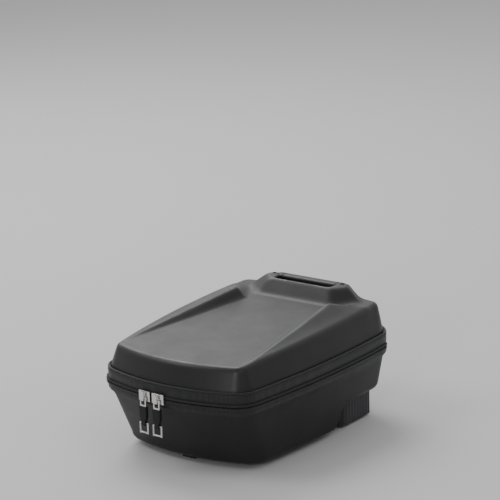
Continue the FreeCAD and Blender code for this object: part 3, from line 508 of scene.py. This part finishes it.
def rubbery(name, color, roughness=0.72):
    """Matt rubber with a dusty, pitted surface."""
    material, tree, shader = new_material(name, color, roughness, specular=0.3)
    vector = spot_on(tree)
    clouds = texture(tree, "ShaderNodeTexNoise", vector, Scale=90.0, Detail=6.0)
    pits = texture(tree, "ShaderNodeTexVoronoi", vector, Scale=2200.0)
    tree.links.new(blend_colors(tree, clouds.outputs["Fac"], tinted(color, 0.7), tinted(color, 1.5)),
                   shader.inputs["Base Color"])
    tree.links.new(ranged(tree, clouds.outputs["Fac"], 0.3, 0.7, roughness - 0.08, roughness + 0.08),
                   shader.inputs["Roughness"])
    bump(tree, shader, [(pits.outputs["Distance"], 0.00008, 0.5)])
    return material


SHELL = moulded("tub_skin", (0.0085, 0.0085, 0.009), 0.5, specular=0.42)
LID = moulded("lid_skin", (0.011, 0.011, 0.0115), 0.44, specular=0.5)
GRIP = moulded("grip_skin", (0.010, 0.010, 0.0105), 0.46, grain=1900.0)
RING_SKIN = moulded("ring_skin", (0.022, 0.022, 0.024), 0.5, grain=2200.0, wear_and_highlight=1.6)
BOLT_RED = moulded("bolt_red", (0.32, 0.02, 0.015), 0.42, grain=2600.0, wear_and_highlight=1.3)
PIPING = woven("piping_cloth", (0.02, 0.02, 0.021), yarn=0.0007, rough=0.6, depth=0.0001)
TAPE = woven("tape_cloth", (0.019, 0.019, 0.020), yarn=0.0008, rough=0.5, sheen=0.15, depth=0.00010)
LINING_CLOTH = woven("lining_cloth", (0.11, 0.113, 0.118), yarn=0.0013, rough=0.85, depth=0.00012,
                     lighter=1.25, darker=0.82)
WEBBING = woven("webbing_cloth", (0.02, 0.02, 0.022), yarn=0.0016, depth=0.0003)
NET = woven("net_cord", (0.02, 0.02, 0.022), yarn=0.0004, depth=0.00005)
THREAD = woven("thread", (0.03, 0.03, 0.032), yarn=0.0003, depth=0.00004)
COIL = moulded("coil_nylon", (0.022, 0.022, 0.023), 0.36, grain=3000.0, wear_and_highlight=1.6)
NICKEL = plated("nickel", (0.66, 0.65, 0.63), 0.26)
ZINC = plated("zinc", (0.55, 0.56, 0.57), 0.34)
BLACK_STEEL = plated("black_steel", (0.05, 0.05, 0.053), 0.36)
RUBBER = rubbery("tab_rubber", (0.012, 0.012, 0.013), 0.6)
FOOT_RUBBER = rubbery("foot_rubber", (0.05, 0.05, 0.053), 0.62)


# ------------------------------------------------------------------ tub
def tub_walls(grow):
    """Foot and waist rings of the tapered wall."""
    foot = plan(grow, 8.0, 33.0, 16.0, 30.0, 30.0)
    waist = plan(grow, 2.0, 4.0, 2.0, 29.0, 29.0)
    return foot, waist


def inward(ring):
    """Unit vectors pointing into the ring at each of its points."""
    ahead = np.roll(ring, -1, axis=0) - np.roll(ring, 1, axis=0)
    ahead /= np.linalg.norm(ahead, axis=1)[:, None]
    return np.column_stack([-ahead[:, 1], ahead[:, 0]])


def wall_ring(foot, waist, low, high):
    """The wall's points at a height for each column; low is the height of the foot ring."""
    share = (high - low) / (WAIST_HIGH - low)
    return raised(mix(foot, waist, share[:, None]), high)


def tub_skin(grow, lift, low, round_by):
    """Rings of the tub's wall and floor from the waist down to a round hole over the lock ring."""
    foot, waist = tub_walls(grow)
    floor = tub_floor(mix(foot, waist, 0.4)[:, 1]) + lift
    floor = np.maximum(floor, low + lift)
    rings = []
    for share in (1.0, 0.85, 0.7, 0.55, 0.4, 0.25, 0.12, 0.0):
        height = floor + round_by + (WAIST_HIGH - floor - round_by) * share
        rings.append(wall_ring(foot, waist, TUB_LOW, height))
    start, side = rings[-1][:, :2], inward(rings[-1][:, :2])
    for step in range(1, 7):
        turn = math.radians(15.0 * step)
        rings.append(raised(start + side * round_by * (1 - math.cos(turn)),
                            floor + round_by * (1 - math.sin(turn))))
    edge = rings[-1][:, :2]
    turn = np.arctan2(edge[:, 1], edge[:, 0])
    hub = np.column_stack([np.cos(turn), np.sin(turn)]) * (RING_RAD + 0.5)
    for step in range(1, 25):
        spot = mix(edge, hub, step / 24.0)
        height = np.maximum(tub_floor(spot[:, 1]) + lift, low + lift)
        rings.append(raised(spot, height))
    return rings


def tub():
    lip = [(-WALL + 0.5, RIM_HIGH), (RIM_OUT - 0.9, RIM_HIGH), (RIM_OUT - 0.25, RIM_HIGH - 0.25),
           (RIM_OUT, RIM_HIGH - 0.9), (RIM_OUT, TUB_HIGH + 1.0), (RIM_OUT - 0.3, TUB_HIGH + 0.3),
           (RIM_OUT - 1.0, TUB_HIGH), (0.3, TUB_HIGH - 0.1), (0.0, TUB_HIGH - 0.6)]
    rings = [raised(plan(grow), height) for grow, height in lip]
    collar, waist = plan(), tub_walls(0.0)[1]
    rings.append(raised(mix(collar, waist, 0.55), mix(TUB_HIGH, WAIST_HIGH, 0.55)))
    rings += tub_skin(0.0, 0.0, TUB_LOW, LOW_ROUND)
    hub, roof = rings[-1][:, :2], RING_HIGH + 0.3
    recess = [(1.0, 6.6), (1.0, RING_HIGH - 0.4), (0.985, roof), (0.7, roof), (0.35, roof), (0.02, roof)]
    rings += [raised(hub * share, height) for share, height in recess]
    shell = loft("tub_shell", rings)
    outward(shell)
    thicken(shell, WALL)
    return finish_piece(shell, "base", SHELL, "shell_black", "base_shell")


def tub_lining():
    inset = -WALL - LINING_GAP
    rings = [raised(plan(inset), RIM_HIGH - 1.8), raised(plan(inset), TUB_HIGH)]
    rings += tub_skin(inset, WALL + LINING_GAP, LINING_FLOOR - WALL - LINING_GAP, LINING_ROUND)
    hub = rings[-1][:, :2]
    for share in (0.75, 0.5, 0.25, 0.02):
        rings.append(raised(hub * share, LINING_FLOOR))
    lining = loft("tub_lining", rings)
    for vertex in lining.data.vertices:
        wrinkle = noise.noise(vertex.co * 28.0) * 0.45 * MM
        if vertex.co.z < (TUB_HIGH - 8) * MM:
            vertex.co += Vector((-vertex.co.x, -vertex.co.y, 0.12)).normalized() * (wrinkle + 0.45 * MM)
    outward(lining)
    thicken(lining, LINING)
    finish_piece(lining, "base", LINING_CLOTH, "lining_fabric", "base_liner")


# ------------------------------------------------------------------ lid
def lid_top(ring, inset, height):
    """Points of the lid's top over a ring, lowered with the inset."""
    return raised(ring, height(ring[:, 0], ring[:, 1]) - inset * 1.05)


def lid_walls(inset, low, height):
    """Rings of the lid's rim, ledge and wall, up to the edge of its top."""
    if inset:
        rings = [raised(plan(-inset), low)]
    else:
        rings = [raised(plan(grow), level) for grow, level in (
            (RIM_OUT - 0.9, LID_LOW), (RIM_OUT - 0.25, LID_LOW + 0.25), (RIM_OUT, LID_LOW + 0.9),
            (RIM_OUT, LEDGE_HIGH - 0.9), (RIM_OUT - 0.25, LEDGE_HIGH - 0.25), (RIM_OUT - 0.9, LEDGE_HIGH),
            (0.4, LEDGE_HIGH), (0.05, LEDGE_HIGH + 0.2), (0.0, LEDGE_HIGH + 0.8))]
    foot = raised(plan(-inset), WALL_HIGH)
    brow = lid_top(plan(-inset, LEAN, LEAN, LEAN, LID_TURN, LID_TURN), inset, height)
    inner = lid_top(plan(-inset - 5.5, LEAN, LEAN, LEAN, LID_TURN, LID_TURN), inset, height)
    bend = mix(foot, brow, 0.82)
    for share in (0.0, 0.2, 0.4, 0.6, 0.72):
        rings.append(mix(foot, brow, share))
    for step in range(6):
        t = step / 5.0
        rings.append(bend * (1 - t) ** 2 + brow * 2 * t * (1 - t) + inner * t * t)
    return rings


def border_of_top(start):
    """Numbers of the points round the top's grid, taken from the last ring; the middle is still empty."""
    columns, rows = 2 * QUARTER, HALF_RING - 2 * QUARTER
    index = np.zeros((rows + 1, columns + 1), int)
    for k in range(columns + 1):
        index[0, k] = start + (RING - QUARTER + k) % RING
        index[rows, k] = start + HALF_RING + QUARTER - k
    for j in range(rows + 1):
        index[j, 0] = start + RING - QUARTER - j
        index[j, columns] = start + QUARTER + j
    return index


def spots_on_top(edge, index):
    """Plan of the top's grid: filled in from its four sides, then drawn to the lines of the rails."""
    rows, columns = index.shape[0] - 1, index.shape[1] - 1
    u = np.linspace(0, 1, columns + 1)[None, :, None]
    v = np.linspace(0, 1, rows + 1)[:, None, None]
    back, front = edge[index[0]][None], edge[index[rows]][None]
    left, right = edge[index[:, 0]][:, None], edge[index[:, columns]][:, None]
    spots = ((1 - v) * back + v * front + (1 - u) * left + u * right
             - (1 - u) * (1 - v) * back[:, :1] - u * (1 - v) * back[:, -1:]
             - (1 - u) * v * front[:, :1] - u * v * front[:, -1:])
    side = np.linspace(-1, 1, columns + 1)[None, :]
    width = np.abs(right[:, :, 0])
    foot_x, crest_x, _, _ = rail_lines(spots[:, :, 1])
    across = np.abs(side)
    knot_foot, knot_crest = 0.66, 0.8
    aligned = np.where(across < knot_foot, foot_x * across / knot_foot,
                       np.where(across < knot_crest,
                                mix(foot_x, crest_x, (across - knot_foot) / (knot_crest - knot_foot)),
                                mix(crest_x, width, (across - knot_crest) / (1 - knot_crest))))
    ends = np.clip(np.minimum(v[:, :, 0], 1 - v[:, :, 0]) / 0.12, 0, 1)
    weight = ends * ends * (3 - 2 * ends) * np.clip((width - crest_x) / 6.0, 0, 1)
    spots[:, :, 0] = mix(spots[:, :, 0], np.sign(side) * aligned, weight)
    return spots


def lid_volume(name, inset, low, height=lid_height):
    """Closed body of the lid, inset all round; its top follows the given height function."""
    rings = lid_walls(inset, low, height)
    walls = np.vstack(rings)
    faces = strip_faces(RING, len(rings))
    faces.append(tuple(range(RING))[::-1])
    start = (len(rings) - 1) * RING
    index = border_of_top(start)
    rows, columns = index.shape[0] - 1, index.shape[1] - 1
    inside = spots_on_top(rings[-1][:, :2], index - start)[1:-1, 1:-1].reshape(-1, 2)
    index[1:-1, 1:-1] = np.arange(len(inside)).reshape(rows - 1, columns - 1) + len(walls)
    faces += [(index[j, k], index[j, k + 1], index[j + 1, k + 1], index[j + 1, k])
              for j in range(rows) for k in range(columns)]
    points = np.vstack([walls, lid_top(inside, inset, height)])
    body = make(name, points, [tuple(int(i) for i in face) for face in faces])
    outward(body)
    return body


def round_rect(x0, x1, y0, y1, radius, steps=6):
    """Rectangle with rounded corners, anticlockwise."""
    spots = []
    for cx, cy, start in ((x1 - radius, y0 + radius, -90), (x1 - radius, y1 - radius, 0),
                          (x0 + radius, y1 - radius, 90), (x0 + radius, y0 + radius, 180)):
        for i in range(steps + 1):
            turn = math.radians(start + 90.0 * i / steps)
            spots.append((cx + radius * math.cos(turn), cy + radius * math.sin(turn)))
    return np.array(spots)


def scoop_tool(more):
    """Body that opens the hand recess: flared where it meets the hump, or plain and larger by more."""
    flare = [(117.0, -2.0), (117.6, -0.7), (119.0, 0.0), (146.6, 0.0), (147.8, 0.3), (148.6, 0.9),
             (149.0, 1.6), (149.4, 2.6), (153.0, 9.0)]
    if more:
        flare = [(117.0, 0.0), (153.0, 0.0)]
    rings = []
    for height, out in flare:
        ring = round_rect(-40.0 - more - out, 40.0 + more + out, 154.0 - more - out, 216.0, 6.0 + more)
        rings.append(raised(ring, height - (more if height < 118 else 0.0)))
    tool = loft("scoop_tool", rings, caps=True)
    outward(tool)
    return tool


def seat_tool(more):
    """Body that opens the seats of the carry handle."""
    half = 52.3 + more
    rings = [raised(round_rect(-half, half, 167.5 - more, 216.0, 1.5), height)
             for height in (139.7 - more, 156.0)]
    tool = loft("seat_tool", rings, caps=True)
    outward(tool)
    return tool


def lid():
    shell = cut(lid_volume("lid_cover", 0.0, 0.0), scoop_tool(0.0), seat_tool(0.0))
    room = cut(lid_volume("lid_room", WALL, LID_LOW - 3.0), scoop_tool(WALL), seat_tool(WALL))
    cut(shell, room)
    return finish_piece(shell, "lid", LID, "lid_black", "lid_shell", limit=32.0)


def lid_lining():
    gap, inner = WALL + LINING_GAP, WALL + LINING_GAP + LINING
    cloth = cut(lid_volume("lid_lining", gap, LID_LOW - 2.0, flat_deck), scoop_tool(gap))
    room = cut(lid_volume("lining_room", inner, LID_LOW - 4.0, flat_deck), scoop_tool(inner))
    cut(cloth, room)
    finish_piece(cloth, "lid", LINING_CLOTH, "lining_fabric", "lid_liner")


def section_band(name, profile):
    """Closed band round the bag with a closed section of (outwards, height) points."""
    return loft(name, [raised(plan(out), height) for out, height in profile], loop=True)


def oval(out, height, half_out, half_high, steps=12, power=1.0):
    """Oval section; power under 1 squares it up."""
    spots = []
    for i in range(steps):
        turn = 2 * math.pi * i / steps
        c, s = math.cos(turn), math.sin(turn)
        spots.append((out + half_out * math.copysign(abs(c) ** power, c),
                      height + half_high * math.copysign(abs(s) ** power, s)))
    return spots


def piping():
    cord = section_band("piping_cord", oval(2.35, 100.35, 1.3, 1.1, 14))
    outward(cord)
    finish_piece(cord, "lid", PIPING, "piping", "lid_piping")
    flange = section_band("piping_flange", oval(0.9, 99.55, 0.75, 0.3, 8, 0.6))
    outward(flange)
    finish_piece(flange, "lid", PIPING, "piping")


# ------------------------------------------------------------------ zip
def zip_half(name, low, high, body, seam_side):
    """Tape, stitches and teeth of one half; seam_side is 1 below the seam and -1 above it."""
    middle, half = (low + high) / 2, (high - low) / 2
    out, deep = (TAPE_IN + TAPE_OUT) / 2, (TAPE_OUT - TAPE_IN) / 2
    face, back = out + deep, out - deep
    profile = [(face, low + 0.35), (face, mix(low, high, 0.33)), (face, mix(low, high, 0.66)),
               (face, high - 0.35), (out + deep * 0.5, high), (out - deep * 0.5, high),
               (back, high - 0.35), (back, middle), (back, low + 0.35),
               (out - deep * 0.5, low), (out + deep * 0.5, low)]
    tape = section_band("zip_tape_%s_cloth" % name, profile)
    outward(tape)
    finish_piece(tape, body, TAPE, "zip_fabric", "zip_tape_" + name)
    points, faces = rounded_box((-1.15, -0.28, -0.2), (1.15, 0.2, 0.2), 0.17, 2)
    rows = []
    for away in (half * 0.55, half * 0.85) if half > 5 else (half * 0.62,):
        height = middle - away * seam_side
        rows += places_on(plan(TAPE_OUT), height, STITCH_PITCH)
    stitches = many("zip_stitches_" + name, points, faces, rows)
    finish_piece(stitches, body, THREAD, "zip_fabric")
    tooth, tooth_faces = rounded_box((-0.6, -0.95, -1.45), (0.6, 0.95, 1.45), 0.4, 2)
    tooth[:, 1] += 0.25 * np.clip(tooth[:, 2] * seam_side / 1.45, -1, 1)
    shift = 0.5 if seam_side > 0 else 0.0
    places = places_on(plan(TEETH_OUT), SEAM_HIGH - seam_side * 2.0, TEETH_PITCH, shift, CHAIN_END)
    coil = many("zip_teeth_" + name, tooth, tooth_faces, places)
    finish_piece(coil, body, COIL, "zip_coil", "zip_coil_" + name, limit=60.0)


def zip_guard():
    """Cloth flap behind the teeth, sewn to the lid's half."""
    flap = section_band("zip_guard", oval(-1.1, 85.6, 0.5, 6.0, 10, 0.5))
    outward(flap)
    finish_piece(flap, "lid", TAPE, "zip_fabric")


def hinge_cloth():
    """Cloth hinge across the front, sewn to both halves."""
    ring = plan(0.0)
    front = [i for i in range(RING) if abs(ring[i, 0]) < 62.0 and ring[i, 1] > 170.0]
    rings = []
    rows = 18
    for row in range(rows + 1):
        height = 77.2 + 15.6 * row / rows
        bulge = 0.5 * math.sin(math.pi * row / rows)
        rings.append(raised(plan(4.1 + bulge)[front], height))
    strip = loft("hinge_cloth", rings, closed=False)
    outward(strip)
    if strip.data.polygons[0].normal.y < 0:
        edit(strip, lambda bm: bmesh.ops.reverse_faces(bm, faces=bm.faces))
    thicken(strip, 0.9)
    strip.data.materials.append(WEBBING)
    shade(strip)
    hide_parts("hinge_strip")
    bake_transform(strip)


# ------------------------------------------------------------------ carry handle
def handle():
    """Grip bar: rounded section, thicker where the fingers close round it."""
    rings = []
    back, front = 168.1, 180.9
    for x in np.linspace(-52.0, 52.0, 105):
        end = min((52.0 - abs(x)) / 2.4, 1.0)
        end = math.sqrt(1 - (1 - end) ** 2)
        thick = min(max((40.0 - abs(x)) / 7.0, 0.0), 1.0)
        thick = thick * thick * (3 - 2 * thick)
        low, high = 140.1 - 2.6 * thick, 148.5 - 1.6 * max(0.0, (abs(x) - 44.0) / 8.0)
        groove = 0.5 if 37.0 < abs(x) < 38.6 else 0.0
        mid_y, mid_z = (back + front) / 2, (low + high) / 2
        half_y = (front - back) / 2 * (0.86 + 0.14 * end) - groove
        half_z = (high - low) / 2 * (0.8 + 0.2 * end) - groove
        section = oval(mid_y, mid_z, half_y, half_z, 32, 0.45)
        rings.append(np.array([(x, y, z) for y, z in section]))
    bar = loft("carry_grip", rings, caps=True)
    outward(bar)
    tools = []
    for x in (-47.0, 47.0):
        circle = np.array([(x + 4.3 * math.cos(a), 173.0 + 4.3 * math.sin(a))
                           for a in np.linspace(0, 2 * math.pi, 33)[:-1]])
        tool = loft("sink", [raised(circle, 144.8), raised(circle, 152.0)], caps=True)
        outward(tool)
        tools.append(tool)
    cut(bar, *tools)
    return finish_piece(bar, "lid", GRIP, "grip_black", "carry_handle", limit=45.0)


# ------------------------------------------------------------------ net pocket
def net_pocket():
    """Diamond net under the lid's deck, sagging a little in its middle."""
    low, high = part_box("mesh_panel")
    half_x = high.x / MM
    y0, y1 = low.y / MM, high.y / MM
    cell, hang, sag = 3.3, 12.9, 1.6

    def height(x, y):
        return deck(y) - hang - sag * (1.0 - (x / half_x) ** 2) * math.sin(math.pi * (y - y0) / (y1 - y0))

    columns, rows = int(2 * half_x / cell), int((y1 - y0) / cell)
    points, faces, index = [], [], {}
    for j in range(2 * rows + 1):
        for i in range(2 * columns + 1):
            if (i + j) % 2 == 0:
                x, y = -half_x + i * half_x / columns, y0 + j * (y1 - y0) / (2 * rows)
                index[i, j] = len(points)
                points.append((x, y, height(x, y)))
    for j in range(2 * rows + 1):
        for i in range(2 * columns + 1):
            corners = [(i, j - 1), (i + 1, j), (i, j + 1), (i - 1, j)]
            if (i + j) % 2 and all(c in index for c in corners):
                faces.append(tuple(index[c] for c in corners))
    net = make("pocket_net", points, faces)
    wires = net.modifiers.new("wires", "WIREFRAME")
    wires.thickness = 0.62 * MM
    wires.use_boundary = True
    applied(net)
    finish_piece(net, "lid", NET, "mesh", "mesh_panel", limit=80.0)


def refined(ring, steps_for):
    """The ring with each side cut into as many steps as steps_for gives for its length."""
    found = []
    for a, b in zip(ring, np.roll(ring, -1, axis=0)):
        steps = steps_for(np.linalg.norm(b - a))
        found += [mix(a, b, s / steps) for s in range(steps)]
    return np.array(found)


def binding():
    """Gathered elastic edge of the net pocket."""
    low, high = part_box("mesh_binding")
    x1, y0, y1 = high.x / MM - 0.3, low.y / MM + 0.4, high.y / MM - 0.3
    rings = []
    outer, inner = [refined(ring, lambda length: 40 if length > 20 else 1) for ring in (
        round_rect(-x1, x1, y0, y1, 9.0, 10),
        round_rect(-x1 + 4.0, x1 - 4.0, y0 + 4.0, y1 - 4.0, 5.0, 10))]
    middle = (outer + inner) / 2
    reach = (outer - inner) / 2
    gather = 1.0 + 0.07 * np.sin(np.arange(len(outer)) * 2.3)
    for k in range(14):
        turn = 2 * math.pi * k / 14
        c, s = math.cos(turn), math.sin(turn)
        flat = math.copysign(abs(c) ** 0.7, c)
        tall = math.copysign(abs(s) ** 0.6, s)
        ring = middle + reach * flat * 0.96
        rings.append(raised(ring, deck(ring[:, 1]) - 10.2 + 3.75 * tall * gather))
    edge = loft("pocket_binding", rings, loop=True)
    outward(edge)
    finish_piece(edge, "lid", WEBBING, "webbing", "mesh_binding")


# ------------------------------------------------------------------ under the tub
def front_foot():
    """Support block with upright ribs all round."""
    low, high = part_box("front_foot")
    x1, y0, y1 = 96.0, low.y / MM + 0.8, high.y / MM - 0.8
    ring = refined(round_rect(-x1, x1, y0, y1, 10.0, 12), lambda length: max(int(length / 1.2), 1))
    side = inward(ring)
    length = np.concatenate([[0.0], np.cumsum(np.linalg.norm(np.diff(ring, axis=0), axis=1))])
    wave = np.clip(0.5 + 0.9 * np.sin(length * 2 * math.pi / 6.0), 0, 1)
    levels = [(2.1, 5.0, 0.0), (2.1, 1.6, 0.0), (2.7, 0.5, 0.2), (3.9, 0.0, 1.0), (12.0, 0.0, 1.0),
              (20.0, 0.0, 1.0), (27.0, 0.0, 1.0), (28.6, 0.0, 0.1), (31.6, 0.2, 0.0), (31.6, 5.0, 0.0)]
    rings = [raised(ring + side * (set_in + ribs * 0.8 * wave)[:, None], height)
             for height, set_in, ribs in levels]
    foot = loft("front_foot_ribbed", rings, caps=True)
    outward(foot)
    finish_piece(foot, "base", FOOT_RUBBER, "foot_rubber", "front_foot")


def rear_pads():
    """Two soft pads under the back edge of the tub."""
    levels = [(5.85, 0.5), (4.6, 0.0), (3.9, 0.3), (3.5, 1.2), (3.45, 3.0), (3.42, 5.0)]
    for sign, name in ((-1, "left"), (1, "right")):
        x0, x1 = sorted((sign * 50.0, sign * 78.0))
        rings = []
        for height, set_in in levels:
            corner = 3.0 if set_in < 2 else 0.9
            rings.append(raised(round_rect(x0 + set_in, x1 - set_in, -56 + set_in, -44 - set_in, corner),
                                height))
        pad = loft("rear_pad_" + name, rings, caps=True)
        outward(pad)
        nodes = ("rear_pads",) if sign < 0 else ()
        finish_piece(pad, "base", FOOT_RUBBER, "foot_rubber", *nodes)


def release_strap():
    """Folded webbing pull, finely ribbed across."""
    line = [(-67.3, 0.75), (-68.6, 0.8), (-70.0, 1.0), (-71.2, 1.7), (-72.4, 2.05), (-74.6, 2.1),
            (-76.6, 1.95)]
    rings = []
    for k, x in enumerate(np.linspace(-8.8, 8.8, 45)):
        rib = 0.06 * (k % 2)
        upper = [(x, y, z + 0.45 - rib) for y, z in line]
        lower = [(x, y, z - 0.45 + rib) for y, z in reversed(line)]
        rings.append(np.array(upper + lower))
    strap = loft("release_webbing", rings, caps=True)
    outward(strap)
    finish_piece(strap, "latch", WEBBING, "webbing", "release_strap", limit=60.0)


# ------------------------------------------------------------------ hard pieces carried over
def remade(node, body, material, slot, bevel, segments=2, limit=30.0):
    """A copy of a CAD node's mesh, cleaned up and with its sharp edges rounded."""
    piece = bpy.data.objects.new(node + "_finished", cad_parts[node].data.copy())
    bpy.context.scene.collection.objects.link(piece)

    def work(bm):
        bmesh.ops.remove_doubles(bm, verts=bm.verts, dist=0.002 * MM)
        bmesh.ops.dissolve_limit(bm, angle_limit=math.radians(0.6), verts=bm.verts, edges=bm.edges)
        sharp = [e for e in bm.edges if e.is_manifold and e.calc_face_angle(0.0) > math.radians(limit)]
        bmesh.ops.bevel(bm, geom=sharp, offset=bevel * MM, segments=segments, profile=0.6, affect="EDGES",
                        clamp_overlap=True)
        bmesh.ops.triangulate(bm, faces=[f for f in bm.faces if len(f.verts) > 4])
        bmesh.ops.remove_doubles(bm, verts=bm.verts, dist=0.001 * MM)

    edit(piece, work)
    return finish_piece(piece, body, material, slot, node, limit=50.0)


# ------------------------------------------------------------------ build
tub()
tub_lining()
lid()
lid_lining()
piping()
zip_half("lower", 76.0, 84.2, "base", 1)
zip_half("upper", 85.8, 99.0, "lid", -1)
zip_guard()
hinge_cloth()
handle()
net_pocket()
binding()
front_foot()
rear_pads()
release_strap()

remade("ring_adapter", "base", RING_SKIN, "ring_plastic", 0.4)
remade("ring_screws", "base", ZINC, "steel", 0.12)
remade("ring_nuts", "base", ZINC, "steel", 0.2)
remade("floor_plate", "base", RING_SKIN, "ring_plastic", 0.4)
remade("latch_bolt", "latch", BOLT_RED, "bolt_plastic", 0.3)
remade("latch_cover", "base", RING_SKIN, "ring_plastic", 0.15)
# the spring is squeezed between its seat on the base and the bolt
spring = remade("latch_spring", None, ZINC, "steel", 0.01, 1, 80.0)
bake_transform(spring)
remade("handle_screws", "lid", BLACK_STEEL, "black_steel", 0.3)
remade("handle_plates", "lid", ZINC, "steel", 0.2)
for side in ("left", "right"):
    remade("slider_" + side, "slider_" + side, NICKEL, "zip_metal", 0.3)
    remade("pull_link_" + side, "puller_" + side, NICKEL, "zip_metal", 0.25)
    remade("pull_tab_" + side, "puller_" + side, RUBBER, "tab_rubber", 0.2)
    remade("end_loop_" + side, "loop_" + side, NICKEL, "zip_metal", 0.2, 2, 60.0)


# ------------------------------------------------------------------ floor, light, camera
def area_light(name, spot, target, size, power):
    data = bpy.data.lights.new(name, "AREA")
    data.shape = "DISK"
    data.size = size
    data.energy = power
    light = bpy.data.objects.new(name, data)
    light.location = spot
    light.rotation_euler = (Vector(target) - Vector(spot)).to_track_quat("-Z", "Y").to_euler()
    bpy.context.scene.collection.objects.link(light)


def studio():
    """Pale floor, a sky that is brighter ahead of the bag and to its left, and four soft lamps."""
    mesh = bpy.data.meshes.new("floor")
    half, drop = 12.0, 0.0004
    corners = [(-half, -half), (half, -half), (half, half), (-half, half)]
    mesh.from_pydata([(x, y, -drop) for x, y in corners], [], [(0, 1, 2, 3)])
    floor = bpy.data.objects.new("floor", mesh)
    bpy.context.scene.collection.objects.link(floor)
    paint, tree, shader = new_material("floor_paint", (0.72, 0.72, 0.72), 0.85, specular=0.2)
    clouds = texture(tree, "ShaderNodeTexNoise", spot_on(tree), Scale=3.0, Detail=4.0)
    tree.links.new(blend_colors(tree, clouds.outputs["Fac"], (0.7, 0.7, 0.7), (0.74, 0.74, 0.74)),
                   shader.inputs["Base Color"])
    mesh.materials.append(paint)
    world = bpy.data.worlds.new("studio")
    bpy.context.scene.world = world
    world.use_nodes = True
    tree = world.node_tree
    back = tree.nodes["Background"]
    back.inputs["Strength"].default_value = 1.0
    source = add(tree, "ShaderNodeTexCoord")
    apart = add(tree, "ShaderNodeSeparateXYZ")
    tree.links.new(source.outputs["Generated"], apart.inputs["Vector"])
    ahead = maths(tree, "ADD", maths(tree, "MULTIPLY", apart.outputs["Y"], 0.75),
                   maths(tree, "MULTIPLY", apart.outputs["X"], -0.6))
    share = ranged(tree, ahead, -0.6, 0.8, 0.0, 1.0)
    tree.links.new(blend_colors(tree, share, (0.22, 0.22, 0.225), (0.88, 0.88, 0.89)), back.inputs["Color"])
    area_light("key", (-1.3, 1.0, 1.7), (0, 0.04, 0.08), 1.4, 22.0)
    area_light("fill", (1.6, -0.6, 1.5), (0, 0.04, 0.08), 1.6, 5.0)
    area_light("rear", (0.6, -1.85, 0.75), (0.04, -0.08, 0.1), 0.5, 7.0)
    area_light("behind", (-1.1, -0.8, 1.65), (0, 0.1, 0.14), 0.9, 8.0)


def camera():
    """From behind the bag and its right, above it.

    aim_right and aim_up are tangents that turn the view away from ahead, which leaves room above the bag.
    """
    data = bpy.data.cameras.new("view")
    data.sensor_width = 36.0
    data.lens = 172.8
    view = bpy.data.objects.new("view", data)
    spot = Vector((1.5573, -2.09353, 0.96509))
    rise = Vector((-0.18618, 0.29926, 0.93583))
    ahead = Vector((-0.5207816, 0.7776173, -0.3522754))
    right = ahead.cross(rise)
    aim_right, aim_up = -0.0375, 0.0833333
    look = (ahead + right * aim_right + rise * aim_up).normalized()
    up = (rise - look * rise.dot(look)).normalized()
    side = look.cross(up)
    turn = Matrix((side, up, -look)).transposed()
    view.matrix_world = Matrix.Translation(spot) @ turn.to_4x4()
    bpy.context.scene.collection.objects.link(view)
    bpy.context.scene.camera = view


studio()
camera()
